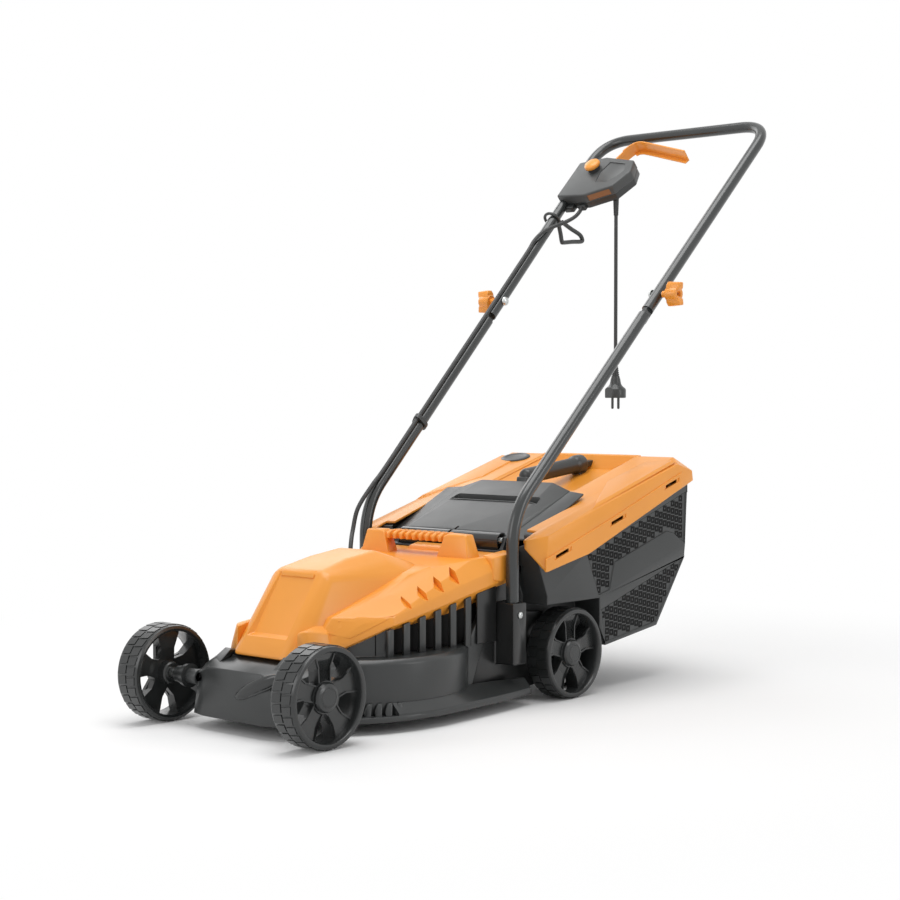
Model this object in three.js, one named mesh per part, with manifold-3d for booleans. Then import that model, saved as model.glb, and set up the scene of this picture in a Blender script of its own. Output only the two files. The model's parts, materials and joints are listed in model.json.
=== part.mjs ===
// Electric push lawn mower with a rear grass box, as an assembly of separate pieces.
// Millimetres, +Z up, the front of the mower towards -Y, the user's left at +X.
// Pieces are placed with the front axle on y = 0; the last group moves the whole mower
// so that the middle of its length stands on the origin.
import * as THREE from 'three';
import { mergeVertices } from 'three/addons/utils/BufferGeometryUtils.js';
import { ConvexGeometry } from 'three/addons/geometries/ConvexGeometry.js';
import Module from 'manifold-3d';

const wasm = await Module();
wasm.setup();

// ---------------------------------------------------------------- driving dimensions
const GAP = 0.3;                 // seating gap between touching pieces
const WALL = 3;                  // moulded shell thickness

const WHEEL_RADIUS = 70;
const WHEEL_WIDTH = 44;
const WHEEL_SIDES = 24;          // the bottom facet is the face that the mower stands on
const WHEEL_BASE = 527;
const WHEEL_X = 157.2;           // middle of each wheel
const HUB_RADIUS = 21;
const AXLE_RADIUS = 5;
const AXLE_BOSS_RADIUS = 11;

const RING_RADIUS = 168;         // blade housing, outside
const RING_Y = 225;              // motor axis behind the front axle
const RING_WALL = 5;
const RING_SIDES = 36;
const DECK_BOTTOM = 22;
const DECK_TOP = 100;
const PLATE = 5;                 // thickness of the deck's top plate
const MOTOR_HOLE = 24;
const COMB_THICKNESS = 8;
const COMB_REACH = 10;           // how far the lawn combs stand out from the housing
const COMB_LEAD = 17.7;          // and how far forwards of their inner corner

const HOOD_FLOOR = DECK_TOP + GAP;
const HOOD_HALF = 138;           // half width over the hood's side edges
const HOOD_LOW = 131;            // lower edge at y = 100
const HOOD_SLOPE = 0.185;
const HOOD_REAR = 427;
const GRIP_TOP = 257;
const VENT_GAP = 4;              // shadow line under the hood's edge
const VENT_SLOTS = 5;
const VENT_START = 168;
const VENT_PITCH = 33;
const VENT_SLOT = 20;
const COMB_BOTTOM = 16;

const TUNNEL_HALF = 104;         // inside half width of the discharge tunnel
const TUNNEL_ROOF = 200;
const REAR_Y = 452;              // rear face of the deck's frame
const REAR_TOP = 229;
const CHEEK_X = 120;             // inner face of the side cheeks that carry the rear axles
const CHEEK = 10;

const TUBE_RADIUS = 9.6;
const TUBE_SIDES = 12;
const TUBE_WALL = 1.6;
const TUBE_Y = 407.4;            // upright part of the lower tubes
const TUBE_X = 151.3;
const SOCKET_FLOOR = 112;
const SOCKET_TOP = 156;
const SOCKET_WALL = 5;
const BEND_Z = 286.6;
const BEND_REACH = 45;

const PIVOT_X = 165.7;           // fold pivot between lower and upper tubes
const PIVOT_Y = 760.6;
const PIVOT_Z = 625.5;
const UPPER_LENGTH = 446;        // pivot to crossbar
const CROSSBAR_HALF = 180;
const CROSSBAR_BEND = 62;
const CLEVIS = 38;               // upper tube below the pivot
const NECK = 12;                 // tang that shows between the two tubes
const TANG = 8;
const TANG_HALF = 8.5;
const FOLD_SLOT = 38;            // slit in the upper side of the tube that lets the tang swing
const BOLT_RADIUS = 4;
const BOLT_HEAD = 8;
const KNOB_START = 184;
const KNOB_END = 213;
const WING_TURN = 48;            // degrees that stand the wing knobs upright

const BLADE_CLEARANCE = 5;       // between the blade's tips and its housing
const BLADE_Z = 36;
const BLADE_THICKNESS = 3;
const SHAFT_RADIUS = 6;
const MOTOR_RADIUS = 50;
const STATOR_HEIGHT = 58;
const BELL_HEIGHT = 17;
const BEARING_RADIUS = 13;

const HINGE_Y = 445;             // discharge flap hinge
const HINGE_Z = 242;
const HINGE_HALF = 104;
const LUG = 7;
const PIN_RADIUS = 2.5;
const BARREL_RADIUS = 10;
const SPRING_SEAT = 18;          // length of pin left free for the closing spring
const FLAP_THICKNESS = 3;

const LID_HALF = 187;            // grass box lid
const LID_WALL = 3;
const LID_CROWN = { y: 460, z: 262, slope: 0.2912 };
const BOX_HALF = 165;            // grass box sides under the lid
const BOX_NOSE = 116;            // half width of its mouth between the rear wheels
const BOX_WALL = 3;
const GRIP_RADIUS = 13;
const INDICATOR_AT = [-140, 772];

const CORD_RADIUS = 3.3;
const CORD_SIDES = 8;
const CORD_END_Z = 514;          // hanging end of the mains cord, where its plug begins
const GLAND_LENGTH = 34;
const LEAD_RADIUS = 3.5;
const PLUG_RADIUS = 19;
const PLUG_NECK = 20;
const PLUG_BODY = 37;
const PLUG_TURN = -20;
const PIN_LENGTH = 20;
const PIN_SPACING = 19;
const CLIP_AT = -302;            // along the handle, behind the pivot
const HOOK_REACH = 224;          // from the crossbar back to the cable hook
const GRIP_LAYOUT = 446;         // tube length that the switch box is laid out on

// ---------------------------------------------------------------- derived places
const AXLE_Z = WHEEL_RADIUS * Math.cos(Math.PI / WHEEL_SIDES);
const HANDLE_ANGLE = Math.atan2(PIVOT_Z - BEND_Z, PIVOT_Y - TUBE_Y);
const LOWER_LENGTH = Math.hypot(PIVOT_Z - BEND_Z, PIVOT_Y - TUBE_Y);
const SPLAY = (CROSSBAR_HALF - PIVOT_X) / UPPER_LENGTH;
const BLADE_RADIUS = RING_RADIUS - RING_WALL - BLADE_CLEARANCE;
const HOOK_AT = UPPER_LENGTH - HOOK_REACH;
const GRIP_SHIFT = UPPER_LENGTH - GRIP_LAYOUT;
const LOWER_SPLAY = (PIVOT_X - TUBE_X) / LOWER_LENGTH;

// ---------------------------------------------------------------- finishes
function finish(color, roughness, metalness) {
  return new THREE.MeshStandardMaterial({ color, roughness, metalness });
}
const ORANGE = finish(0xf5a040, 0.45, 0);
const BLACK = finish(0x3a3b3b, 0.5, 0);
const DARK = finish(0x2b2a29, 0.6, 0);
const PAINT = finish(0x2f3031, 0.3, 0.3);
const STEEL = finish(0xa8abad, 0.35, 1);
const COPPER = finish(0x8a8d90, 0.5, 0.8);
const RUBBER = finish(0x262626, 0.8, 0);

// ---------------------------------------------------------------- geometry helpers
function solid(geometry) {
  const bare = geometry.clone();
  bare.deleteAttribute('normal');
  bare.deleteAttribute('uv');
  const merged = mergeVertices(bare, 1e-4);
  return new wasm.Manifold(new wasm.Mesh({
    numProp: 3,
    vertProperties: new Float32Array(merged.attributes.position.array),
    triVerts: new Uint32Array(merged.index.array),
  }));
}

function geometryOf(shape) {
  const { vertProperties, triVerts } = shape.getMesh();
  const geometry = new THREE.BufferGeometry();
  geometry.setAttribute('position', new THREE.BufferAttribute(vertProperties, 3));
  geometry.setIndex(new THREE.BufferAttribute(triVerts, 1));
  return geometry;
}

function join(...shapes) {
  return shapes.reduce((whole, shape) => whole.add(shape));
}

function cut(shape, ...tools) {
  return tools.reduce((rest, tool) => rest.subtract(tool), shape);
}

function box(x0, x1, y0, y1, z0, z1) {
  const geometry = new THREE.BoxGeometry(x1 - x0, y1 - y0, z1 - z0);
  return solid(geometry.translate((x0 + x1) / 2, (y0 + y1) / 2, (z0 + z1) / 2));
}

// A straight round bar between two points.
function rod(radius, start, end, sides = 16) {
  const from = new THREE.Vector3(...start);
  const along = new THREE.Vector3(...end).sub(from);
  const geometry = new THREE.CylinderGeometry(radius, radius, along.length(), sides);
  geometry.rotateY(Math.PI / sides);
  const turn = new THREE.Quaternion().setFromUnitVectors(
    new THREE.Vector3(0, 1, 0), along.clone().normalize());
  geometry.applyQuaternion(turn);
  return solid(geometry.translate(...from.addScaledVector(along, 0.5).toArray()));
}

// A turned shape: profile of [radius, height] about a vertical axis at (x, y).
function turned(profile, x, y, sides = 24) {
  const points = profile.map(([radius, height]) => new THREE.Vector2(radius, height));
  const closes = profile[0][0] > 0 || profile.at(-1)[0] > 0;
  if (THREE.ShapeUtils.area(points) < 0) points.reverse();
  if (closes) points.push(points[0].clone());
  const geometry = new THREE.LatheGeometry(points, sides, Math.PI / sides);
  return solid(geometry.rotateX(Math.PI / 2).translate(x, y, 0));
}

function convex(points) {
  return solid(new ConvexGeometry(points.map((point) => new THREE.Vector3(...point))));
}

// The same corner on both sides of the middle plane.
function bothSides(points) {
  return points.flatMap(([x, y, z]) => [[x, y, z], [-x, y, z]]);
}

// An outline in plan, from one height to another.
function slab(outline, z0, z1) {
  const shape = new THREE.Shape(outline.map(([x, y]) => new THREE.Vector2(x, y)));
  const geometry = new THREE.ExtrudeGeometry(shape, { depth: z1 - z0, bevelEnabled: false });
  return solid(geometry.translate(0, 0, z0));
}

// An outline of [y, z] seen from the side, from one x to another.
function profileX(outline, x0, x1) {
  const shape = new THREE.Shape(outline.map(([y, z]) => new THREE.Vector2(y, z)));
  const geometry = new THREE.ExtrudeGeometry(shape, { depth: x1 - x0, bevelEnabled: false });
  geometry.rotateX(Math.PI / 2).rotateZ(Math.PI / 2);
  return solid(geometry.translate(x0, 0, 0));
}

function roundSection(radius, sides) {
  const points = [];
  for (let side = 0; side < sides; side += 1) {
    const angle = (side + 0.5) * 2 * Math.PI / sides;
    points.push(new THREE.Vector2(radius * Math.cos(angle), radius * Math.sin(angle)));
  }
  return new THREE.Shape(points);
}

// A path that is sampled only at its own stations, so that straight runs stay one step long.
class StationPath extends THREE.Curve {
  constructor(stations) {
    super();
    this.stations = stations;
  }

  station(u) {
    return this.stations[Math.round(u * (this.stations.length - 1))];
  }

  getPointAt(u, target = new THREE.Vector3()) {
    return target.copy(this.station(u).point);
  }

  getTangentAt(u, target = new THREE.Vector3()) {
    return target.copy(this.station(u).tangent);
  }
}

// Straight runs joined by curves that start `reach` before each corner.
function bentPath(corners, reach, bendSteps = 5) {
  const points = corners.map((corner) => new THREE.Vector3(...corner));
  const direction = (from, to) => to.clone().sub(from).normalize();
  const stations = [{ point: points[0], tangent: direction(points[0], points[1]) }];
  for (let index = 1; index < points.length - 1; index += 1) {
    const corner = points[index];
    const back = corner.clone().addScaledVector(direction(corner, points[index - 1]), reach);
    const ahead = corner.clone().addScaledVector(direction(corner, points[index + 1]), reach);
    const bend = new THREE.QuadraticBezierCurve3(back, corner, ahead);
    for (let step = 0; step <= bendSteps; step += 1) {
      stations.push({ point: bend.getPoint(step / bendSteps), tangent: bend.getTangent(step / bendSteps) });
    }
  }
  const end = points.at(-1);
  stations.push({ point: end, tangent: direction(points.at(-2), end) });
  return new StationPath(stations);
}

function barAlong(path, radius, sides, steps = path.stations.length - 1) {
  return solid(new THREE.ExtrudeGeometry(roundSection(radius, sides),
    { extrudePath: path, steps, bevelEnabled: false }));
}

// A steel tube through the corners; its bore runs past the start and stops short of the end
// by the two trims, so that a negative trim leaves that end open.
function tubeThrough(corners, reach, startTrim, endTrim) {
  const slide = (from, to, amount) => new THREE.Vector3(...from)
    .addScaledVector(new THREE.Vector3(...to).sub(new THREE.Vector3(...from)).normalize(), amount)
    .toArray();
  const inner = [...corners];
  inner[0] = slide(corners[0], corners[1], startTrim);
  inner[inner.length - 1] = slide(corners.at(-1), corners.at(-2), endTrim);
  return cut(barAlong(bentPath(corners, reach), TUBE_RADIUS, TUBE_SIDES),
    barAlong(bentPath(inner, reach), TUBE_RADIUS - TUBE_WALL, TUBE_SIDES));
}

function smoothPath(points) {
  return new THREE.CatmullRomCurve3(points.map((point) => new THREE.Vector3(...point)),
    false, 'centripetal');
}

// From the handle's own frame (x, along the tubes, up from them) to the mower's.
function onHandle([x, along, up]) {
  const cos = Math.cos(HANDLE_ANGLE);
  const sin = Math.sin(HANDLE_ANGLE);
  return [x, PIVOT_Y + along * cos - up * sin, PIVOT_Z + along * sin + up * cos];
}
const HANDLE_MATRIX = new THREE.Matrix4().makeRotationX(HANDLE_ANGLE)
  .setPosition(0, PIVOT_Y, PIVOT_Z);

function handleToMower(shape) {
  return solid(geometryOf(shape).applyMatrix4(HANDLE_MATRIX));
}

const mower = new THREE.Group();
const handle = new THREE.Group();
handle.position.set(0, PIVOT_Y, PIVOT_Z);
handle.rotation.x = HANDLE_ANGLE;
mower.add(handle);

function piece(name, shape, material, parent = mower) {
  const mesh = new THREE.Mesh(geometryOf(shape), material.clone());
  mesh.name = name;
  parent.add(mesh);
}

const SIDES = [['left', 1], ['right', -1]];

// ---------------------------------------------------------------- deck
// Blade housing ring, front bumper, discharge tunnel, rear frame and tube sockets in one moulding.
function bumper(inset) {
  const low = DECK_BOTTOM - 3 + (inset ? -20 : 0);
  return convex(bothSides([
    [60 - inset, -14 + inset, low], [87 - inset, -6 + inset, low],
    [52 - inset, -10 + inset, 88 - inset], [82 - inset, 0 + inset, 76 - inset],
    [102 - inset, 24 + inset, low], [102 - inset, 30 + inset, 84 - inset],
    [112 - inset, 120, low], [112 - inset, 120, DECK_TOP - inset],
    [100 - inset, 64, DECK_TOP - inset],
  ]));
}

// Low wall that closes the gap under the hood's slanting front corner.
function hoodSill(side) {
  const line = [[74, 95], [87, 104], [106, 137], [120, 157], [130, 168]];
  const outline = [...line, ...line.map(([x, y]) => [x - 5, y + 4]).reverse()];
  const plan = slab(outline.map(([x, y]) => [side * x, y]), DECK_TOP - 2, 150);
  const heights = profileX([[80, DECK_TOP - 2], [80, 106], [96, 108], [130, hoodEdge(130) - VENT_GAP],
    [170, hoodEdge(170) - VENT_GAP], [170, DECK_TOP - 2]], -150, 150);
  return plan.intersect(heights).intersect(hoodShape(WALL + GAP));
}

function deckHousing() {
  const roof = DECK_TOP - PLATE;
  const ring = turned([
    [MOTOR_HOLE, roof], [RING_RADIUS - RING_WALL, roof], [RING_RADIUS - RING_WALL, DECK_BOTTOM],
    [RING_RADIUS, DECK_BOTTOM], [RING_RADIUS, DECK_TOP - 6], [RING_RADIUS - 6, DECK_TOP],
    [MOTOR_HOLE, DECK_TOP],
  ], 0, RING_Y, RING_SIDES);
  const chamber = rod(RING_RADIUS - RING_WALL, [0, RING_Y, 0],
    [0, RING_Y, roof], RING_SIDES);
  const motorHole = rod(MOTOR_HOLE, [0, RING_Y, roof - 1], [0, RING_Y, DECK_TOP + 1], 24);
  const nose = cut(bumper(0), bumper(RING_WALL));

  const outer = TUNNEL_HALF + RING_WALL;
  const tunnel = box(-outer, outer, 318, REAR_Y - 20, DECK_TOP - PLATE, TUNNEL_ROOF);
  const frame = box(-CHEEK_X - CHEEK, CHEEK_X + CHEEK, REAR_Y - 24, REAR_Y, 60, REAR_TOP);
  const tunnelInside = join(
    box(-TUNNEL_HALF, TUNNEL_HALF, 318 + RING_WALL, REAR_Y + 1, DECK_TOP, TUNNEL_ROOF - WALL),
    box(-TUNNEL_HALF + 20, TUNNEL_HALF - 20, 318 + RING_WALL, 366, roof - 1, DECK_TOP + 1));

  const pin = [HINGE_HALF + LUG + 2, HINGE_Y, HINGE_Z];
  const shapes = [];
  const cuts = [rod(PIN_RADIUS + GAP, [-pin[0], HINGE_Y, HINGE_Z], pin, 16)];
  for (const [, side] of SIDES) {
    const inner = side > 0 ? CHEEK_X : -CHEEK_X - CHEEK;
    const lug = side > 0 ? HINGE_HALF + GAP : -HINGE_HALF - GAP - LUG;
    shapes.push(profileX([[REAR_Y - 20, REAR_TOP - 1], [REAR_Y, REAR_TOP - 1],
      [REAR_Y, HINGE_Z + 3], [HINGE_Y + 2, HINGE_Z + 7], [HINGE_Y - 3, HINGE_Z + 7]], lug, lug + LUG));
    shapes.push(profileX([
      [330, COMB_BOTTOM], [REAR_Y - 6, COMB_BOTTOM], [WHEEL_BASE + 24, 30],
      [WHEEL_BASE + 24, AXLE_Z + 26], [WHEEL_BASE - 20, 132],
      [REAR_Y, 138], [REAR_Y - 24, 200], [395, 190], [330, DECK_TOP],
    ], inner, inner + CHEEK));
    // front axle boss and rear axle boss, each bored for its axle
    shapes.push(rod(AXLE_BOSS_RADIUS, [side * 80, 0, AXLE_Z], [side * 112, 0, AXLE_Z], 16));
    shapes.push(rod(AXLE_BOSS_RADIUS, [side * (CHEEK_X + 2), WHEEL_BASE, AXLE_Z],
      [side * (CHEEK_X + CHEEK + 3), WHEEL_BASE, AXLE_Z], 16));
    shapes.push(hoodSill(side));
    // socket column for the lower tube
    const half = TUBE_RADIUS + SOCKET_WALL;
    const near = side > 0 ? CHEEK_X + 2 : -TUBE_X - half;
    const far = side > 0 ? TUBE_X + half : -CHEEK_X - 2;
    shapes.push(box(near, far, TUBE_Y - half, TUBE_Y + half, 64, SOCKET_TOP));
    cuts.push(rod(TUBE_RADIUS + 0.5, [side * TUBE_X, TUBE_Y, SOCKET_FLOOR],
      [side * TUBE_X, TUBE_Y, SOCKET_TOP + 1], 24));
    for (const y of [0, WHEEL_BASE]) {
      cuts.push(rod(AXLE_RADIUS + 0.1, [side * 70, y, AXLE_Z], [side * 140, y, AXLE_Z], 16));
    }
    // seat for the tube's fixing screw
    cuts.push(rod(2.6, [side * 130, TUBE_Y, SOCKET_TOP - 18], [side * 180, TUBE_Y, SOCKET_TOP - 18], 12));
  }
  const body = join(cut(join(ring, nose), chamber, motorHole), tunnel, frame, ...shapes);
  return cut(body, tunnelInside, chamber, motorHole, ...cuts);
}

function lawnComb(side) {
  const edge = (x) => RING_Y + Math.sqrt((RING_RADIUS + GAP) ** 2 - x ** 2);
  const nearRing = [];
  const firstX = 112 + GAP;
  const start = Math.atan2(2 * RING_Y - edge(firstX) - RING_Y, firstX);
  const lastX = CHEEK_X + CHEEK + GAP;
  const end = Math.atan2(edge(lastX) - RING_Y, lastX);
  const steps = 12;
  for (let step = 0; step <= steps; step += 1) {
    const angle = end + (start - end) * step / steps;
    nearRing.push([side * (RING_RADIUS + 0.7) * Math.cos(angle),
      RING_Y + (RING_RADIUS + 0.7) * Math.sin(angle)]);
  }
  const reach = RING_RADIUS + COMB_REACH;
  const front = 2 * RING_Y - edge(firstX) - COMB_LEAD;
  const outer = [[firstX, front], [reach - 46, front + 2], [reach - 20, 128], [reach - 6, 176], [reach, 225],
    [reach - 2, 290], [reach - 8, 380], [reach - 16, 440], [lastX, 446]].map(([x, y]) => [side * x, y]);
  return slab([...outer, ...nearRing], COMB_BOTTOM, COMB_BOTTOM + COMB_THICKNESS);
}

piece('deck_housing', deckHousing(), BLACK);
for (const [name, side] of SIDES) piece(`lawn_comb_${name}`, lawnComb(side), BLACK);

// ---------------------------------------------------------------- hood, vents, carry handle
function hoodShape(inset) {
  const open = inset ? -90 : 0;
  const dome = convex(bothSides([
    [47 - inset, 33 + inset, HOOD_FLOOR + open], [68 - inset, 52 + inset, HOOD_FLOOR + open],
    [45 - inset, 117 + inset, 217 - inset], [59 - inset, 119 + inset, 208 - inset],
    [36 - inset, 233, 239 - inset], [60 - inset, 233, 224 - inset],
    [56 - inset, 300 - inset, 216 - inset], [80 - inset, 275 - inset, 204 + open],
    [82 - inset, 100, HOOD_FLOOR + open],
  ]));
  const wings = convex(bothSides([
    [70 - inset, 60 + inset, HOOD_FLOOR + open], [78 - inset, 85 + inset, 121 + open],
    [77 - inset, 106 + inset, 158 - inset], [93 - inset, 96 + inset, 112 + open],
    [89 - inset, 107 + inset, 138 - inset], [112 - inset, 130 + inset, hoodEdge(130) + open],
    [108 - inset, 132 + inset, 145 - inset], [127 - inset, 150 + inset, hoodEdge(150) + open],
    [121 - inset, 152 + inset, 153 - inset], [HOOD_HALF - inset, 166 + inset, hoodEdge(166) + open],
    [HOOD_HALF - 4 - inset, 168 + inset, 155 - inset],
    [84 - inset, 255, 206 - inset], [120 - inset, 350, 222 - inset],
    [130 - inset, HOOD_REAR - inset, 226 - inset], [84 - inset, HOOD_REAR - inset, 226 - inset],
    [HOOD_HALF - inset, HOOD_REAR - inset, hoodEdge(HOOD_REAR) + open],
    [HOOD_HALF - inset, HOOD_REAR - inset, 220 - inset],
  ]));
  return join(dome, wings);
}

// Height of the hood's lower edge above the side vents.
function hoodEdge(y) {
  return HOOD_LOW + HOOD_SLOPE * (y - 100);
}

function sideVent(side) {
  const inner = CHEEK_X + CHEEK + GAP;
  const outer = HOOD_HALF - 2;
  const front = VENT_START - 8;
  const rear = TUBE_Y - TUBE_RADIUS - SOCKET_WALL - GAP;
  const outline = [[front, DECK_TOP + GAP], [rear, DECK_TOP + GAP],
    [rear, hoodEdge(rear) - VENT_GAP], [front, hoodEdge(front) - VENT_GAP]];
  const slots = [];
  for (let slot = 0; slot < VENT_SLOTS; slot += 1) {
    const y = VENT_START + slot * VENT_PITCH;
    const top = hoodEdge(y) + VENT_SLOT;
    slots.push(profileX([[y, DECK_TOP + 8], [y + VENT_SLOT, DECK_TOP + 8],
      [y + VENT_SLOT, top], [y, top]], -200, 200));
  }
  const from = side > 0 ? inner : -outer;
  return cut(profileX(outline, from, from + outer - inner), ...slots);
}

function carryHandle() {
  const posts = SIDES.map(([, side]) => convex([
    [side * 84, 338, 190], [side * 113, 338, 190], [side * 84, 424, 190], [side * 113, 424, 190],
    [side * 79, 360, GRIP_TOP], [side * 96, 362, GRIP_TOP - 2],
    [side * 79, 392, GRIP_TOP], [side * 96, 410, GRIP_TOP - 6],
    [side * 79, 424, 232], [side * 79, 342, 232],
  ]));
  const grip = box(-82, 82, 360, 384, GRIP_TOP - 12, GRIP_TOP);
  const lifted = hoodShape(0).translate([0, 0, GAP]);
  return cut(join(grip, ...posts), lifted, box(-200, 200, 200, 500, 150, 206));
}

const duct = CHEEK_X + CHEEK + GAP;
const LEAD_ENTRY = [-130, 350];  // where the motor's lead goes down through the hood
piece('motor_hood', cut(hoodShape(0), hoodShape(WALL),
  rod(LEAD_RADIUS + 1.5, [...LEAD_ENTRY, 180], [...LEAD_ENTRY, 250], 12),
  box(-duct, duct, HOOD_REAR - 2 * WALL, HOOD_REAR + 1, HOOD_FLOOR, TUNNEL_ROOF + GAP)), ORANGE);
piece('carry_handle', carryHandle(), ORANGE);
for (const [name, side] of SIDES) piece(`side_vent_${name}`, sideVent(side), BLACK);

// ---------------------------------------------------------------- motor, fan and blade
const BELL_Z = DECK_TOP + GAP;
const STATOR_Z = BELL_Z + BELL_HEIGHT + GAP;
const UPPER_BELL_Z = STATOR_Z + STATOR_HEIGHT + GAP;
const UPPER_BELL_TOP = UPPER_BELL_Z + BELL_HEIGHT;
const FAN_Z = UPPER_BELL_TOP + 3;
const SEAT = BEARING_RADIUS + GAP;
const BORE = SHAFT_RADIUS + GAP;
const CARRIER_Z = BLADE_Z + BLADE_THICKNESS + GAP;
const SHAFT_BOTTOM = 60;
const BOLT_HOLE = BOLT_RADIUS + GAP;
const BEARING_HEIGHT = 8;
const POCKET = 5;                // depth of metal left under a bearing seat

piece('motor_bell_lower', turned([
  [8, BELL_Z], [MOTOR_RADIUS, BELL_Z], [MOTOR_RADIUS, BELL_Z + BELL_HEIGHT],
  [SEAT, BELL_Z + BELL_HEIGHT], [SEAT, BELL_Z + POCKET], [8, BELL_Z + POCKET],
], 0, RING_Y), STEEL);
piece('motor_bell_upper', turned([
  [8, UPPER_BELL_TOP], [MOTOR_RADIUS, UPPER_BELL_TOP], [MOTOR_RADIUS, UPPER_BELL_Z],
  [SEAT, UPPER_BELL_Z], [SEAT, UPPER_BELL_TOP - POCKET], [8, UPPER_BELL_TOP - POCKET],
], 0, RING_Y), STEEL);
piece('motor_stator', turned([
  [32, STATOR_Z], [MOTOR_RADIUS, STATOR_Z], [MOTOR_RADIUS, STATOR_Z + STATOR_HEIGHT],
  [32, STATOR_Z + STATOR_HEIGHT],
], 0, RING_Y), COPPER);
const bearing = (z) => turned([
  [BORE, z], [BEARING_RADIUS, z], [BEARING_RADIUS, z + BEARING_HEIGHT], [BORE, z + BEARING_HEIGHT],
], 0, RING_Y);
piece('bearing_lower', bearing(BELL_Z + POCKET + GAP), STEEL);
piece('bearing_upper', bearing(UPPER_BELL_TOP - POCKET - GAP - BEARING_HEIGHT), STEEL);
piece('rotor_armature', turned([
  [0, SHAFT_BOTTOM], [SHAFT_RADIUS, SHAFT_BOTTOM], [SHAFT_RADIUS, STATOR_Z + 3],
  [31.4, STATOR_Z + 3], [31.4, STATOR_Z + STATOR_HEIGHT - 3],
  [SHAFT_RADIUS, STATOR_Z + STATOR_HEIGHT - 3], [SHAFT_RADIUS, FAN_Z + 13], [0, FAN_Z + 13],
], 0, RING_Y), STEEL);

function coolingFan() {
  const blades = [];
  for (let blade = 0; blade < 8; blade += 1) {
    const angle = 45 * blade;
    blades.push(box(9, 42, -1, 1, FAN_Z + 1, FAN_Z + 11).rotate([0, 0, angle])
      .translate([0, RING_Y, 0]));
  }
  const disc = turned([[BORE, FAN_Z], [43, FAN_Z], [43, FAN_Z + 2], [11, FAN_Z + 2],
    [11, FAN_Z + 11], [BORE, FAN_Z + 11]], 0, RING_Y);
  return join(disc, ...blades);
}
piece('cooling_fan', coolingFan(), BLACK);
piece('blade_carrier', turned([
  [BOLT_HOLE, CARRIER_Z], [34, CARRIER_Z], [34, CARRIER_Z + 6], [16, CARRIER_Z + 10],
  [16, DECK_TOP - PLATE - 5], [BORE, DECK_TOP - PLATE - 5], [BORE, SHAFT_BOTTOM - GAP],
  [BOLT_HOLE, SHAFT_BOTTOM - GAP],
], 0, RING_Y), BLACK);

function cuttingBlade() {
  const half = BLADE_RADIUS;
  const outline = [[-half, -20], [-70, -23], [70, -23], [half, -12], [half, 20], [70, 23],
    [-70, 23], [-half, 12]].map(([x, y]) => [x, RING_Y + y]);
  const wing = [[58, 16, 0], [2, 16, 0], [58, 22, 0], [4, 18, 0],
    [54, 20, 14], [6, 17, 14], [54, 22, 14], [6, 18.5, 14]];
  const wings = [1, -1].map((side) => convex(wing.map(([back, y, z]) => [side * (half - back), side * y, z]))
    .translate([0, RING_Y, BLADE_Z + 1]));
  const plate = slab(outline, BLADE_Z, BLADE_Z + BLADE_THICKNESS);
  return cut(join(plate, ...wings),
    rod(BOLT_HOLE, [0, RING_Y, BLADE_Z - 1], [0, RING_Y, BLADE_Z + 9], 24));
}
piece('cutting_blade', cuttingBlade(), STEEL);
const WASHER_TOP = BLADE_Z - GAP;
piece('blade_washer', turned([[BOLT_HOLE, WASHER_TOP - 2], [14, WASHER_TOP - 2],
  [14, WASHER_TOP], [BOLT_HOLE, WASHER_TOP]], 0, RING_Y), STEEL);
const HEAD_TOP = WASHER_TOP - 2 - GAP;
piece('blade_bolt', join(
  rod(BOLT_RADIUS, [0, RING_Y, HEAD_TOP - 1], [0, RING_Y, SHAFT_BOTTOM - GAP], 12),
  rod(BOLT_HEAD, [0, RING_Y, HEAD_TOP - 6], [0, RING_Y, HEAD_TOP], 6)), STEEL);
piece('start_capacitor', turned([[0, DECK_TOP + GAP], [16, DECK_TOP + GAP],
  [16, DECK_TOP + 62], [0, DECK_TOP + 62]], 0, 124, 16), DARK);

// ---------------------------------------------------------------- wheels and stub axles
const WHEELS = [['front_left', 1, 0], ['front_right', -1, 0],
  ['rear_left', 1, WHEEL_BASE], ['rear_right', -1, WHEEL_BASE]];
const HUB_INNER = -18;           // hub faces, measured outwards from the wheel's middle
const HUB_OUTER = 10;
const CAP_END = 19;

// A profile of [radius, outward position] about a wheel's own axle.
function aboutAxle(profile, side, y, sides = 24) {
  const shape = turned(profile, 0, 0, sides).rotate([0, side > 0 ? 90 : -90, 0]);
  return shape.translate([side * WHEEL_X, y, AXLE_Z]);
}

function wheel(side, y) {
  const half = WHEEL_WIDTH / 2;
  const rim = aboutAxle([
    [AXLE_RADIUS + GAP, HUB_INNER], [15, HUB_INNER], [17, -3], [56, 0], [58, -half],
    [WHEEL_RADIUS - 3, -half], [WHEEL_RADIUS, -half + 4], [WHEEL_RADIUS, half - 4],
    [WHEEL_RADIUS - 3, half], [59, half], [57, 8], [HUB_RADIUS, HUB_OUTER],
    [AXLE_RADIUS + GAP, HUB_OUTER],
  ], side, y, WHEEL_SIDES);
  const windows = [];
  for (let index = 0; index < 5; index += 1) {
    const middle = (36 + 72 * index) * Math.PI / 180;
    const corner = (radius, turn) => [radius * Math.sin(middle + turn), radius * Math.cos(middle + turn)];
    const outline = [corner(27, -0.12), corner(27, 0.12), corner(48, 0.36), corner(53, 0.26),
      corner(55, 0), corner(53, -0.26), corner(48, -0.36)]
      .map(([dy, dz]) => [y + dy, AXLE_Z + dz]);
    const from = side * WHEEL_X - half;
    windows.push(profileX(outline, from, from + WHEEL_WIDTH));
  }
  return cut(rim, ...windows);
}

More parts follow.
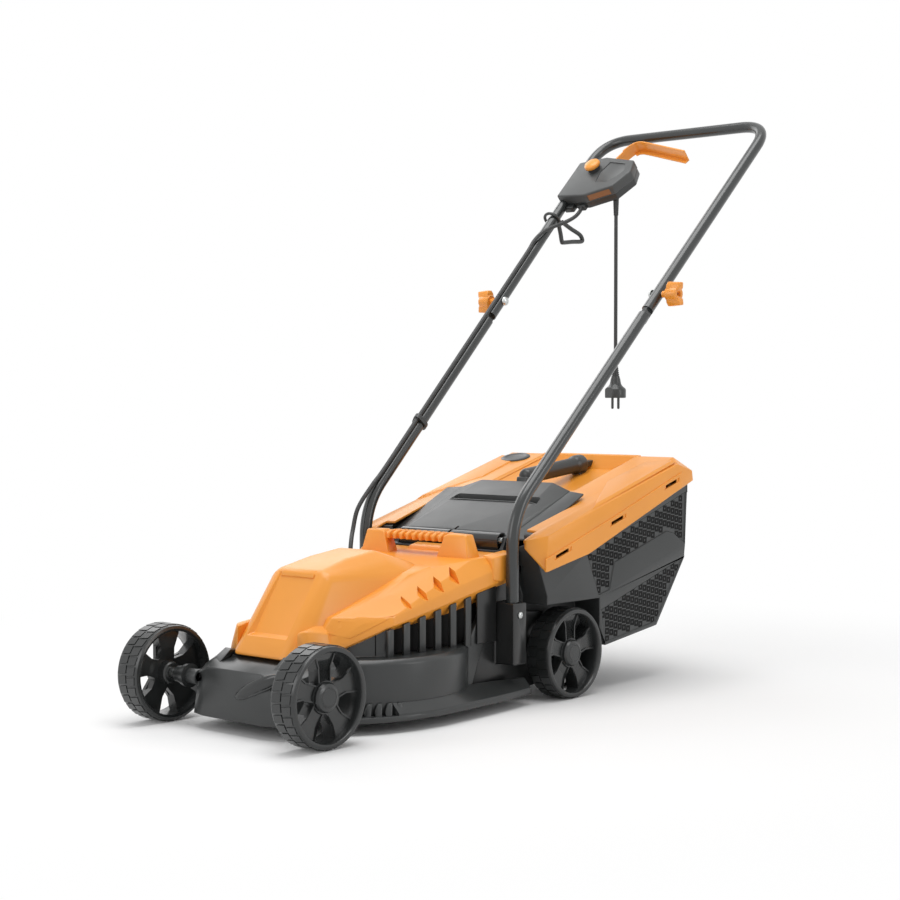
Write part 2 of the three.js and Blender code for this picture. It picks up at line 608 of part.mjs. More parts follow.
function stubAxle(side, y) {
  const inner = y === 0 ? 84 : CHEEK_X - 6;
  const face = y === 0 ? 112 : CHEEK_X + CHEEK + 3;
  const hubInner = WHEEL_X + HUB_INNER;
  const nut = WHEEL_X + HUB_OUTER + GAP;
  const at = (x) => [side * x, y, AXLE_Z];
  return join(rod(AXLE_RADIUS, at(inner), at(nut + 5)),
    rod(AXLE_RADIUS + 3, at(face + GAP), at(hubInner - GAP)),
    rod(BOLT_HEAD, at(nut), at(nut + 4), 6));
}

for (const [name, side, y] of WHEELS) {
  piece(`stub_axle_${name}`, stubAxle(side, y), STEEL);
  piece(`wheel_${name}`, wheel(side, y), BLACK);
  piece(`hub_cap_${name}`, aboutAxle([
    [12, HUB_OUTER + GAP], [HUB_RADIUS, HUB_OUTER + GAP], [HUB_RADIUS, CAP_END - 3],
    [HUB_RADIUS - 3, CAP_END], [0, CAP_END], [0, CAP_END - 2], [12, CAP_END - 2],
  ], side, y, 16), BLACK);
}

// ---------------------------------------------------------------- lower tubes
function lowerTube(side) {
  const shoulder = -CLEVIS - NECK;
  const end = [side * (PIVOT_X + shoulder * LOWER_SPLAY), ...onHandle([0, shoulder, 0]).slice(1)];
  const tube = tubeThrough([[side * TUBE_X, TUBE_Y, SOCKET_FLOOR + GAP],
    [side * TUBE_X, TUBE_Y, BEND_Z], end], BEND_REACH, -1, 16);
  const tang = handleToMower(join(
    box(side * PIVOT_X - TANG / 2, side * PIVOT_X + TANG / 2, shoulder - 14, 0, -TANG_HALF, TANG_HALF),
    rod(TANG_HALF, [side * PIVOT_X - TANG / 2, 0, 0], [side * PIVOT_X + TANG / 2, 0, 0], 16)));
  const hole = handleToMower(rod(BOLT_RADIUS + GAP, [side * PIVOT_X - 20, 0, 0],
    [side * PIVOT_X + 20, 0, 0], 16));
  const screwHole = rod(2.6, [side * 154, TUBE_Y, SOCKET_TOP - 18],
    [side * 180, TUBE_Y, SOCKET_TOP - 18], 12);
  return cut(join(tube, tang), hole, screwHole);
}

function socketScrew(side) {
  const face = TUBE_X + TUBE_RADIUS + SOCKET_WALL + GAP;
  const at = (x) => [side * x, TUBE_Y, SOCKET_TOP - 18];
  return join(rod(2.3, at(155), at(face + 1), 12), rod(5, at(face), at(face + 3), 12));
}

for (const [name, side] of SIDES) {
  piece(`lower_tube_${name}`, lowerTube(side), PAINT);
  piece(`socket_screw_${name}`, socketScrew(side), STEEL);
}

// ---------------------------------------------------------------- upper handle
// Everything in the handle group is placed as (x, along the tubes from the pivot, up).
function upperTube() {
  const foot = PIVOT_X - CLEVIS * SPLAY;
  const solidFoot = CLEVIS + 8;
  const tube = tubeThrough([[-foot, -CLEVIS, 0], [-CROSSBAR_HALF, UPPER_LENGTH, 0],
    [CROSSBAR_HALF, UPPER_LENGTH, 0], [foot, -CLEVIS, 0]], CROSSBAR_BEND, solidFoot, solidFoot);
  const cuts = SIDES.flatMap(([, side]) => {
    const x = side * PIVOT_X;
    const slot = TANG / 2 + 0.5;
    return [box(x - slot, x + slot, -CLEVIS - 10, 14, -20, 20),
      box(x - slot, x + slot, 0, FOLD_SLOT, -5, 20),
      rod(BOLT_RADIUS + GAP, [x - 20, 0, 0], [x + 20, 0, 0], 16)];
  });
  return cut(tube, ...cuts);
}

function pivotBolt(side) {
  const at = (x) => [side * x, 0, 0];
  const inner = PIVOT_X - TUBE_RADIUS - GAP;
  return join(rod(BOLT_RADIUS, at(inner - 1), at(KNOB_END - 12), 12),
    rod(BOLT_HEAD, at(inner - 3), at(inner), 12),
    rod(BOLT_HEAD - 3, at(inner - 5.5), at(inner - 2.5), 12));
}

function wingKnob(side) {
  const at = (x) => [side * x, 0, 0];
  const neck = PIVOT_X + TUBE_RADIUS + 0.8;
  const hub = rod(12, at(KNOB_START), at(KNOB_END - 8), 12);
  const wing = convex([-1, 1].flatMap((end) => [
    [side * (KNOB_START + 5), end * 20, -6], [side * (KNOB_START + 5), end * 20, 6],
    [side * KNOB_END, end * 18, -5], [side * KNOB_END, end * 18, 5],
    [side * (KNOB_START + 5), 0, -10], [side * (KNOB_START + 5), 0, 10],
    [side * (KNOB_END - 6), 0, -9], [side * (KNOB_END - 6), 0, 9]]))
    .rotate([WING_TURN, 0, 0]);
  const bore = rod(BOLT_RADIUS + GAP, at(neck - 1), at(KNOB_END - 12 + GAP), 12);
  return cut(join(rod(5.6, at(neck), at(KNOB_START + 2), 12), hub, wing), bore);
}

piece('upper_tube', upperTube(), PAINT, handle);
for (const [name, side] of SIDES) {
  piece(`pivot_bolt_${name}`, pivotBolt(side), STEEL, handle);
  piece(`wing_knob_${name}`, wingKnob(side), ORANGE, handle);
}

// ---------------------------------------------------------------- switch box and lever
// The switch box and all that hangs on it keep their place below the crossbar.
const fromCrossbar = ([x, along, up]) => [x, along + GRIP_SHIFT, up];
const gripPiece = (name, shape, material) => piece(name,
  shape.translate(fromCrossbar([0, 0, 0])), material, handle);
const CASE_TOP = 19;
const CASE_BOTTOM = -13;
const CASE_WALL = 3;
const BUTTON_AT = [-134, 338];
const BUTTON_TRAVEL = 4;
const LEVER_PIVOT = [-118, 348];
const MAINS_EXIT = [-78, 293];
const LEAD_EXIT = [-133, 258, -6];

function casePoints(inset) {
  return [[-182 + inset, 267 + inset], [-120, 263 + inset], [-66 - inset, 283 + inset],
    [-46 - inset, 322], [-55 - inset, 355 - inset], [-125, 373 - inset], [-182 + inset, 364 - inset]];
}

function caseHalf(z0, z1, tray0, tray1) {
  const shell = slab(casePoints(0), z0, z1);
  const hollow = cut(slab(casePoints(CASE_WALL), tray0, tray1),
    box(-200, -154, 200, 400, -30, 30));
  const tubeAt = (along) => -(PIVOT_X + (along + GRIP_SHIFT) * SPLAY);
  const bore = rod(TUBE_RADIUS + 0.5, [tubeAt(220), 220, 0], [tubeAt(420), 420, 0], 24);
  const leverSlot = box(-144, -92, 355, 380, -LEVER_HALF - 1, LEVER_HALF + 1);
  return cut(shell, hollow, bore, leverSlot);
}

const LEVER_HALF = 10;           // half the height of the lever's web inside the case
const LEVER_REACH = 12;          // and outside it
function caseLower() {
  const [x, y] = LEVER_PIVOT;
  const pin = rod(3.5, [x, y, CASE_BOTTOM + 1], [x, y, 8], 12);
  const gland = rod(CORD_RADIUS + 2.3, [...MAINS_EXIT, CASE_BOTTOM - 1],
    [...MAINS_EXIT, CASE_BOTTOM + 10], 12);
  const [leadX, leadStart, leadUp] = LEAD_EXIT;
  const leadHole = rod(LEAD_RADIUS + GAP, [leadX, leadStart, leadUp], [leadX, leadStart + 30, leadUp], 12);
  return cut(join(caseHalf(CASE_BOTTOM, 0, CASE_BOTTOM + CASE_WALL, 1), pin), gland, leadHole);
}

function caseUpper() {
  const collar = rod(11, [...BUTTON_AT, CASE_TOP - 1], [...BUTTON_AT, CASE_TOP + 5], 20);
  const stemHole = rod(5.5, [...BUTTON_AT, 0], [...BUTTON_AT, CASE_TOP + 6], 16);
  return cut(join(caseHalf(GAP, CASE_TOP, 0, CASE_TOP - CASE_WALL), collar), stemHole);
}

function lockButton() {
  const [x, y] = BUTTON_AT;
  const base = CASE_TOP + BUTTON_TRAVEL + 1.5;
  return turned([[0, 3 + BUTTON_TRAVEL], [4.9, 3 + BUTTON_TRAVEL], [4.9, base + 5], [12.5, base + 5],
    [12.5, base], [15, base], [15, base + 7], [12, base + 11], [0, base + 11]], x, y, 20);
}

// The web follows one line from the pivot, round the knee and out to the free end.
function switchLever() {
  const [x, y] = LEVER_PIVOT;
  const line = [[x, y], [x + 2, y + 24], [-106, 404], [-94, 420], [-80, 423], [-62, 418], [38, 380]];
  const thick = 3;
  const near = line.map(([px, py]) => [px, py]);
  const far = line.map(([px, py], index) => {
    const before = line[Math.max(index - 1, 0)];
    const after = line[Math.min(index + 1, line.length - 1)];
    const length = Math.hypot(after[0] - before[0], after[1] - before[1]);
    return [px + thick * (after[1] - before[1]) / length, py - thick * (after[0] - before[0]) / length];
  });
  const web = slab([...near, ...far.slice().reverse()], -LEVER_HALF + 1, LEVER_HALF - 1);
  const blade = slab([...near.slice(2), ...far.slice(2).reverse()], -LEVER_REACH, LEVER_REACH - 1);
  const flange = slab([[-62, 419], [38, 381], [35, 371], [-66, 408]], -LEVER_REACH, -LEVER_REACH + 3);
  const boss = rod(8, [x, y, -LEVER_HALF + 1], [x, y, LEVER_HALF - 1], 16);
  return cut(join(web, blade, flange, boss), rod(3.8, [x, y, -20], [x, y, 20], 12));
}

gripPiece('switch_case_lower', caseLower(), DARK);
gripPiece('switch_case_upper', caseUpper(), DARK);
gripPiece('lock_button', lockButton(), ORANGE);
gripPiece('switch_lever', switchLever(), ORANGE);
gripPiece('micro_switch', box(-100, -76, 312, 336, CASE_BOTTOM + CASE_WALL + GAP, -2), BLACK);

// ---------------------------------------------------------------- mains cord and plug
const DOWN = [-Math.sin(HANDLE_ANGLE), -Math.cos(HANDLE_ANGLE)];
const glandAt = (drop) => [MAINS_EXIT[0], MAINS_EXIT[1] + drop * DOWN[0], CASE_BOTTOM + drop * DOWN[1]];

// The strain relief turns from the case's sloping floor to hang straight down.
function cordGland() {
  const collar = rod(CORD_RADIUS + 2, [...MAINS_EXIT, CASE_BOTTOM - 1], [...MAINS_EXIT, CASE_BOTTOM + 7], 12);
  const flange = rod(9, [...MAINS_EXIT, CASE_BOTTOM - 4], [...MAINS_EXIT, CASE_BOTTOM - GAP], 16);
  const sections = [[2, 7.5], [12, 6.4], [GLAND_LENGTH, 4.4]];
  const ends = sections.map(([drop, radius]) => rod(radius, glandAt(drop - 0.5), glandAt(drop), 12));
  const sleeve = ends.slice(1).map((end, index) => wasm.Manifold.hull([ends[index], end]));
  const room = box(-120, -40, 200, 400, CASE_BOTTOM - GAP, 40);
  return join(collar, cut(join(flange, ...sleeve), room));
}

const CORD_TOP = onHandle(fromCrossbar(glandAt(GLAND_LENGTH + GAP)));
const CORD_X = CORD_TOP[0];
const CORD_Y = CORD_TOP[1];
gripPiece('cord_gland', cordGland(), DARK);
piece('mains_cord', barAlong(smoothPath([CORD_TOP, [CORD_X, CORD_Y, (CORD_TOP[2] + CORD_END_Z) / 2],
  [CORD_X, CORD_Y, CORD_END_Z]]), CORD_RADIUS, CORD_SIDES, 16), RUBBER);

// A round two-pin plug: its pins stand turned from the mower's own axes, as it happens to hang.
function mainsPlug() {
  const neckTop = CORD_END_Z - GAP;
  const base = neckTop - PLUG_NECK - PLUG_BODY;
  const body = turned([[0, base], [PLUG_RADIUS - 1, base], [PLUG_RADIUS, base + 2], [PLUG_RADIUS, base + 15],
    [PLUG_RADIUS - 6, base + 21], [9.5, base + 30], [8, base + PLUG_BODY], [4.5, neckTop], [0, neckTop]],
  0, 0, 20);
  const flats = SIDES.map(([, side]) => box(-30, 30, side > 0 ? 15 : -40, side > 0 ? 40 : -15,
    base - 1, base + 20));
  const pins = SIDES.map(([, side]) => rod(2.4, [side * PIN_SPACING / 2, 0, base - PIN_LENGTH],
    [side * PIN_SPACING / 2, 0, base + 2], 10));
  return join(cut(body, ...flats), ...pins).rotate([0, 0, PLUG_TURN]).translate([CORD_X, CORD_Y, 0]);
}
piece('mains_plug', mainsPlug(), DARK);

// ---------------------------------------------------------------- motor lead, hook and clip
// The lead runs down the outside of the right tubes, in two lengths that meet at the fold.
const LEAD_INWARD = 4;
const LEAD_ABOVE = Math.sqrt((TUBE_RADIUS + LEAD_RADIUS + GAP) ** 2 - LEAD_INWARD ** 2) + 0.1;
const onLead = (along, lift = 0) => [LEAD_INWARD - PIVOT_X - along * (along > 0 ? SPLAY : LOWER_SPLAY),
  along, LEAD_ABOVE + lift];
const leadRoute = (points) => points.map(onHandle);
const lowerLead = leadRoute([onLead(-2 * GAP), onLead(-60), onLead(-180), onLead(CLIP_AT),
  onLead(-420), onLead(-458, 2)]);
const [entryX, entryY] = LEAD_ENTRY;
const leadFromBox = [[-133, 258, -6], [-134, 250, -8], [-136, 238, -8], [-140, 224, -5], [-146, 207, 1],
  [-153, 188, 9], [-160, 168, 14.5]].map(fromCrossbar);
piece('motor_lead_upper', barAlong(smoothPath([...leadFromBox, onLead(146 + GRIP_SHIFT, 1.2),
  onLead(120 + GRIP_SHIFT), onLead(60), onLead(20), onLead(0)]),
LEAD_RADIUS, CORD_SIDES, 26), RUBBER, handle);
piece('motor_lead_lower', barAlong(smoothPath([...lowerLead,
  [-150, 389, 284], [-147, 374, 250], [entryX - 7, entryY + 10, 234], [entryX, entryY + 1, 218],
  [entryX, entryY, 202]]),
LEAD_RADIUS, CORD_SIDES, 36), RUBBER);

const onUpperTube = (along) => [-(PIVOT_X + along * SPLAY), along, 0];
const onLowerTube = (along) => [-(PIVOT_X + along * LOWER_SPLAY), along, 0];

function cableHook() {
  const ring = rod(TUBE_RADIUS + 4.5, onUpperTube(HOOK_AT - 6), onUpperTube(HOOK_AT + 6), 20);
  const bore = rod(TUBE_RADIUS + 0.4, onUpperTube(HOOK_AT - 12), onUpperTube(HOOK_AT + 12), 24);
  const loop = profileX([[HOOK_AT - 8, -10], [HOOK_AT - 22, -38], [HOOK_AT - 18, -43],
    [HOOK_AT + 31, -80], [HOOK_AT + 36, -76], [HOOK_AT + 34, -60], [HOOK_AT + 8, -10]], -168, -161);
  const opening = profileX([[HOOK_AT - 1, -20], [HOOK_AT - 16, -37.5], [HOOK_AT + 28, -71],
    [HOOK_AT + 28.5, -61.5], [HOOK_AT + 4, -20]], -180, -150);
  return cut(join(ring, cut(loop, opening)), bore);
}

function cableClip() {
  const lead = (along) => onLead(along);
  const around = wasm.Manifold.hull([
    rod(TUBE_RADIUS + 3.5, onLowerTube(CLIP_AT - 4), onLowerTube(CLIP_AT + 4), 20),
    rod(LEAD_RADIUS + 3, lead(CLIP_AT - 4), lead(CLIP_AT + 4), 16)]);
  return handleToMower(cut(around,
    rod(TUBE_RADIUS + 0.4, onLowerTube(CLIP_AT - 12), onLowerTube(CLIP_AT + 12), 24),
    rod(LEAD_RADIUS + 0.6, lead(CLIP_AT - 12), lead(CLIP_AT + 12), 12)));
}

piece('cable_hook', cableHook(), DARK, handle);
piece('cable_clip', cableClip(), DARK);

// ---------------------------------------------------------------- discharge flap
function flapCorners(outward, rearward, drop) {
  return bothSides([
    [HINGE_HALF - 1, HINGE_Y + 1, HINGE_Z + BARREL_RADIUS - drop], [132 + outward, REAR_Y + 10, 246 - drop],
    [112 + outward, 600 + rearward, 322 - drop], [142 + outward, 594 + rearward, 309 - drop],
    [73 + outward, 604 + rearward, 324 - drop],
  ]);
}

function dischargeFlap() {
  const whole = convex([...flapCorners(0, 0, 0), ...flapCorners(0, 0, 20)]);
  const sheet = cut(whole, whole.translate([0, 0, -FLAP_THICKNESS]));
  const barrelEnd = HINGE_HALF - SPRING_SEAT;
  const barrel = rod(BARREL_RADIUS, [-HINGE_HALF, HINGE_Y, HINGE_Z], [barrelEnd, HINGE_Y, HINGE_Z], 20);
  const room = box(barrelEnd, HINGE_HALF + LUG + 2, REAR_Y - 20, REAR_Y + 6, HINGE_Z - 20, HINGE_Z + 12);
  const rightRoom = box(-HINGE_HALF - LUG - 2, -HINGE_HALF, REAR_Y - 20, REAR_Y + 6,
    HINGE_Z - 20, HINGE_Z + 12);
  const bore = rod(PIN_RADIUS + GAP, [-140, HINGE_Y, HINGE_Z], [140, HINGE_Y, HINGE_Z], 16);
  const fingerSlot = box(-91, 91, 540, 556, 200, 400);
  return cut(join(cut(sheet, room, rightRoom), barrel), bore, fingerSlot);
}

piece('discharge_flap', dischargeFlap(), DARK);
piece('flap_hinge_pin', rod(PIN_RADIUS, [-HINGE_HALF - LUG - GAP, HINGE_Y, HINGE_Z],
  [HINGE_HALF + LUG + GAP, HINGE_Y, HINGE_Z], 16), STEEL);
const springStart = HINGE_HALF - SPRING_SEAT + GAP;
piece('flap_spring', cut(
  rod(PIN_RADIUS + 3, [springStart, HINGE_Y, HINGE_Z], [HINGE_HALF - GAP, HINGE_Y, HINGE_Z], 16),
  rod(PIN_RADIUS + GAP, [springStart - 1, HINGE_Y, HINGE_Z], [HINGE_HALF + 1, HINGE_Y, HINGE_Z], 16)), STEEL);

// ---------------------------------------------------------------- grass box
function lidHull(side, top, low) {
  const half = LID_HALF - side;
  return convex(bothSides([
    [half, 448, 254 - top], [half, 790, 350 - top], [half - 17, 800 - side, 361 - top],
    [half - 37, 850 - side, 350 - top], [half - 5, 838 - side, 338 - top],
    [half - 20, 854 - side, 338 - top], [100, LID_CROWN.y, LID_CROWN.z - top],
    [half - 27, 428, 247 - top], [half, 446, 200 - low], [half - 27, 428, 234 - low],
    [half, 548, 220 - low], [half, 800 - side, 311 - low], [half - 5, 841 - side, 322 - low],
    [half - 20, 858 - side, 322 - low],
  ]));
}

function gripRecess(grow) {
  return convex(bothSides([[52 + grow, 610 - grow, 400], [52 + grow, 800 + grow, 400],
    [20 + grow, 640 - grow, 300 - grow], [20 + grow, 775 + grow, 315 - grow]]));
}

const flapRoom = convex([...flapCorners(2, 2, 5), ...flapCorners(2, 2, -80),
  ...bothSides([[134, REAR_Y - 28, 224], [134, REAR_Y - 28, 300], [HINGE_HALF + 3, REAR_Y + 6, 228]])]);

function boxLid() {
  const outer = lidHull(0, 0, 0);
  const inner = lidHull(LID_WALL, LID_WALL + 1, 80);
  const front = box(-155, 155, 400, 460, 100, 400);
  const skin = cut(outer, inner, front, flapRoom);
  const recess = gripRecess(LID_WALL).intersect(outer);
  const slots = [[482, 220], [622, 262], [770, 313]].map(([y, z]) => profileX(
    [[y - 15, z - 1], [y + 15, z + 8], [y + 15, z + 13], [y - 15, z + 4]], -200, 200));
  const [x, y] = INDICATOR_AT;
  const window = rod(17, [x, y, 300], [x, y, 400], 16);
  return cut(join(skin, recess), gripRecess(0), window, ...slots);
}

function boxTub() {
  const top = lidHull(LID_WALL + GAP, LID_WALL + 1 + GAP, 400);
  const upper = (wall) => profileX([
    [REAR_Y + GAP + wall, 300], [REAR_Y + GAP + wall, 212], [474 + wall, 160], [474 + wall, 146 + wall],
    [606 + wall, 146 + wall], [606 + wall, 100], [622 + wall / 2, 70 + wall], [762 - wall / 2, 88 + wall],
    [842 - wall, 193], [850 - wall, 301], [850 - wall, 400], [600, 400]], -BOX_HALF + wall, BOX_HALF - wall);
  const nose = (wall) => profileX([
    [REAR_Y + GAP + wall, 216 - wall], [REAR_Y + GAP + wall, 100 + wall], [606 + wall, 88 + wall],
    [630, 88 + wall], [630, 216 - wall]], -BOX_NOSE + wall, BOX_NOSE - wall);
  const mouth = box(-TUNNEL_HALF, TUNNEL_HALF, REAR_Y - 10, REAR_Y + 10, 104, TUNNEL_ROOF);
  const shell = join(upper(0), nose(0)).intersect(top);
  return cut(shell, upper(BOX_WALL), nose(BOX_WALL), mouth, flapRoom);
}

function boxGrip() {
  const bar = rod(GRIP_RADIUS, [0, 622, 330], [0, 770, 346], 16);
  const knob = rod(GRIP_RADIUS + 3, [0, 755, 344], [0, 777, 347], 16);
  const frontFoot = box(-11, 11, 612, 632, 250, 330);
  const rearFoot = box(-9, 9, 760, 830, 336, 350);
  const lidTop = cut(lidHull(0, 0, 0).translate([0, 0, GAP]), gripRecess(-GAP));
  return cut(join(bar, knob, frontFoot, rearFoot), lidTop);
}

function fillIndicator() {
  const [x, y] = INDICATOR_AT;
  const plate = new THREE.CylinderGeometry(1, 1, 3, 20).scale(28, 1, 22).rotateX(Math.PI / 2)
    .translate(0, 0, 1.5 + GAP).rotateX(Math.atan(LID_CROWN.slope))
    .translate(x, y, LID_CROWN.z + LID_CROWN.slope * (y - LID_CROWN.y));
  return solid(plate);
}

const tub = boxTub();
piece('box_lid', boxLid(), ORANGE);
for (const [name, side] of SIDES) {
  const edge = GAP / 2;
  piece(`box_tub_${name}`, tub.intersect(side > 0 ? box(edge, 300, 0, 1000, 0, 500)
    : box(-300, -edge, 0, 1000, 0, 500)), DARK);
}
piece('box_grip', boxGrip(), DARK);
piece('fill_indicator', fillIndicator(), DARK);

// The middle of the whole mower's length goes to the origin, with its lowest faces on z = 0.
const extent = new THREE.Box3().setFromObject(mower, true);
mower.position.set(0, -(extent.min.y + extent.max.y) / 2, 0);

export default mower;
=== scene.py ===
"""Electric push lawn mower: detailed pieces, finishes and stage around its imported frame."""
import json
import math

import bmesh
import bpy
from mathutils import Matrix, Vector

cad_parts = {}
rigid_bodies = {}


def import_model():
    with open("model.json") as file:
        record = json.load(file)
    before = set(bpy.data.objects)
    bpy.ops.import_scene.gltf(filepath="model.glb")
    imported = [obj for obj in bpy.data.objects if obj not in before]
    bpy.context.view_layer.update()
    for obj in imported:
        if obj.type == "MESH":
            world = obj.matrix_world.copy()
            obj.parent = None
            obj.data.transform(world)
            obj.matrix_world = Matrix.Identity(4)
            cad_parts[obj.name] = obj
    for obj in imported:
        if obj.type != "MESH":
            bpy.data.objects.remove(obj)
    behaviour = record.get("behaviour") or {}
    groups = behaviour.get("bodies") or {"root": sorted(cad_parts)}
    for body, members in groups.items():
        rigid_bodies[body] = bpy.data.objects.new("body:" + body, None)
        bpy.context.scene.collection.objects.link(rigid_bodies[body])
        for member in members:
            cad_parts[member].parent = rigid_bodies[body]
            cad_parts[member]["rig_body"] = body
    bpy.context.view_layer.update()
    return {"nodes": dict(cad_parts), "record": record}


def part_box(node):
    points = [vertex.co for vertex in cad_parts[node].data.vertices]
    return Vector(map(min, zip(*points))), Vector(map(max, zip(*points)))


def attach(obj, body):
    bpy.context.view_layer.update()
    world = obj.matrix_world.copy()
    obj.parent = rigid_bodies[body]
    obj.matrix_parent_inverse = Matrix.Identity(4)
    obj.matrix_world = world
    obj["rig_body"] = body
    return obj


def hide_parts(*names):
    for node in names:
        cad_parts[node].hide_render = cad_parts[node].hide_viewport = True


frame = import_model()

bl_info = {
    "name": "Push Lawn Mower",
    "version": (1, 0, 0),
    "blender": (4, 5, 0),
    "location": "View3D > Sidebar > Mower",
    "description": "Builds the pieces, finishes and stage of an electric push lawn mower",
    "category": "Add Mesh",
}

MM = 0.001
SIDES = (("left", 1), ("right", -1))


# ------------------------------------------------------------------ places
def middle(node):
    low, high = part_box(node)
    return (low + high) / 2


AXLE, REAR_AXLE = middle("wheel_front_left"), middle("wheel_rear_left")
AXLE_Y = AXLE.y / MM
TYRE_HALF = (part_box("wheel_front_left")[1].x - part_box("wheel_front_left")[0].x) / 2 / MM

# Millimetres, counted back from the front axle and up from the floor
TUBE_RADIUS = 9.6
FOOT_X, FOOT_Y = 151.3, 407.3                      # foot of the lower tubes
PIVOT_X, PIVOT_Y, PIVOT_Z = 165.7, 760.6, 625.5    # fold pivot
LOWER_RISE, LOWER_RUN = 338.9, 353.2               # from the foot to the pivot
CROSSBAR_X, CROSSBAR_ALONG = 180, 446              # corner of the crossbar, from the pivot along the tube
SPLAY = (CROSSBAR_X - PIVOT_X) / CROSSBAR_ALONG    # how fast the upper tubes spread
LOWER_SPLAY = (PIVOT_X - FOOT_X) / math.hypot(LOWER_RISE, LOWER_RUN)
GLAND = (-78, 293, -13)                            # cord gland, in the handle's frame
LEAD_X, LEAD_UP = 161.7, 12.89                     # motor lead at the pivot, over the tube
RING_Y = 225                                       # middle of the round blade housing
HINGE_Y, HINGE_Z = 445, 242                        # flap hinge
HANDLE_TURN = Matrix.Rotation(math.atan2(LOWER_RISE, LOWER_RUN), 4, "X")
HANDLE_UP = HANDLE_TURN @ Vector((0, 0, 1))
ORIGIN, X_AXIS, Z_AXIS = Vector((0, 0, 0)), Vector((1, 0, 0)), Vector((0, 0, 1))

# Finishes by name
ORANGE, HAND_ORANGE, SHADED_ORANGE = "Moulded orange ABS", "Polished orange ABS", "Shaded orange ABS"
BLACK, SHADE_PAINTED_BLACK = "Moulded black polypropylene", "Black polypropylene with painted shade"
POLISHED_BLACK, GLOSSY_BLACK = "Polished black ABS", "Glossy black ABS"
CHARCOAL, GREY_NYLON = "Moulded charcoal polypropylene", "Textured grey nylon"
WHEEL_PLASTIC, PVC, SHADOW_PAINT_BLACK = "Moulded wheel plastic", "Extruded black PVC", "Painted shadow black"
COATED_STEEL, ZINC, BLADE_STEEL = "Powder-coated steel", "Zinc-plated steel", "Ground blade steel"
CAST, LAMINATED = "Cast aluminium", "Laminated electrical steel"


def at(x, y, z):
    """A place in millimetres, counted back from the front axle, in the mower's frame."""
    return Vector((x, y + AXLE_Y, z)) * MM


def on_handle(x, along, up=0.0):
    """A place across, along and above the upper tubes, counted from the fold pivot."""
    turned = HANDLE_TURN @ Vector((x, along, up))
    return at(turned.x, PIVOT_Y + turned.y, PIVOT_Z + turned.z)


def one_side(sign, corners, place=at):
    """Corners on the left (1) or on the right (-1) of the middle plane."""
    return [place(sign * x, y, z) for x, y, z in corners]


def both(corners, place=at):
    """The same corners on both sides of the middle plane."""
    return [place(sign * x, y, z) for x, y, z in corners for sign in (1, -1)]


def body_of(node):
    return frame["nodes"][node]["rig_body"]


# ------------------------------------------------------------------ mesh helpers
def ends_of(result, kind):
    return [item for item in result["geom"] if isinstance(item, kind)]


def outward(bm):
    """Merges doubles and turns every face outwards."""
    bmesh.ops.remove_doubles(bm, verts=bm.verts, dist=1e-6)
    bmesh.ops.recalc_face_normals(bm, faces=bm.faces)


def as_piece(bm, name, finish, node=None, body=None, bevel=0.0, segments=2, sharp=35.0, recalc=True,
             cuts=()):
    """Turns a bmesh into a named piece that stands for a frame node, or rides on a body as an extra."""
    if recalc:
        outward(bm)
    piece = raw_object(bm, name)
    for cutter in cuts:
        carve(piece, cutter)
    piece.data.shade_smooth()
    if bevel:
        edges = piece.modifiers.new("Edges", "BEVEL")
        edges.width = bevel * MM
        edges.segments = segments
        edges.limit_method = "ANGLE"
        edges.angle_limit = math.radians(sharp)
        edges.harden_normals = True
        edges.use_clamp_overlap = False
    else:
        piece.data.set_sharp_from_angle(angle=math.radians(sharp))
    piece.data.materials.append(bpy.data.materials[finish])
    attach(piece, body or body_of(node))
    if node:
        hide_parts(node)
    return piece


def new_mesh(bm, name):
    mesh = bpy.data.meshes.new(name)
    bm.to_mesh(mesh)
    bm.free()
    return mesh


def raw_object(bm, name):
    piece = bpy.data.objects.new(name, new_mesh(bm, name))
    bpy.context.scene.collection.objects.link(piece)
    return piece


def carve(piece, cutter):
    """Cuts a closed bmesh out of a piece for good."""
    outward(cutter)
    tool = raw_object(cutter, "cutter")
    cut = piece.modifiers.new("Cut", "BOOLEAN")
    cut.solver = "EXACT"
    cut.use_self = True
    cut.object = tool
    shape = bpy.data.meshes.new_from_object(piece.evaluated_get(bpy.context.evaluated_depsgraph_get()))
    piece.modifiers.remove(cut)
    old, piece.data = piece.data, shape
    bpy.data.meshes.remove(old)
    bpy.data.meshes.remove(tool.data)


def cad_shell(node):
    """A merged copy of a frame node's surface, with its flat faces whole again."""
    bm = bmesh.new()
    bm.from_mesh(frame["nodes"][node].data)
    bmesh.ops.remove_doubles(bm, verts=bm.verts, dist=2e-6)
    bmesh.ops.dissolve_limit(bm, angle_limit=math.radians(0.5), verts=bm.verts, edges=bm.edges)
    return bm


def soften(node, name, finish, bevel):
    """The frame node's own shape with moulded edge radii."""
    return as_piece(cad_shell(node), name, finish, node, bevel=bevel, sharp=30, recalc=False)


def hull(bm, points):
    """Adds the convex solid round some points, with its flat faces whole."""
    verts = [bm.verts.new(point) for point in points]
    result = bmesh.ops.convex_hull(bm, input=verts)
    spare = [v for v in result["geom_interior"] if isinstance(v, bmesh.types.BMVert)]
    spare += [v for v in result["geom_unused"] if isinstance(v, bmesh.types.BMVert)]
    bmesh.ops.delete(bm, geom=list(set(spare)), context="VERTS")
    kept = [v for v in verts if v.is_valid]
    edges = {edge for v in kept for edge in v.link_edges}
    bmesh.ops.dissolve_limit(bm, angle_limit=math.radians(1.5), verts=kept, edges=list(edges))
    return [v for v in kept if v.is_valid]


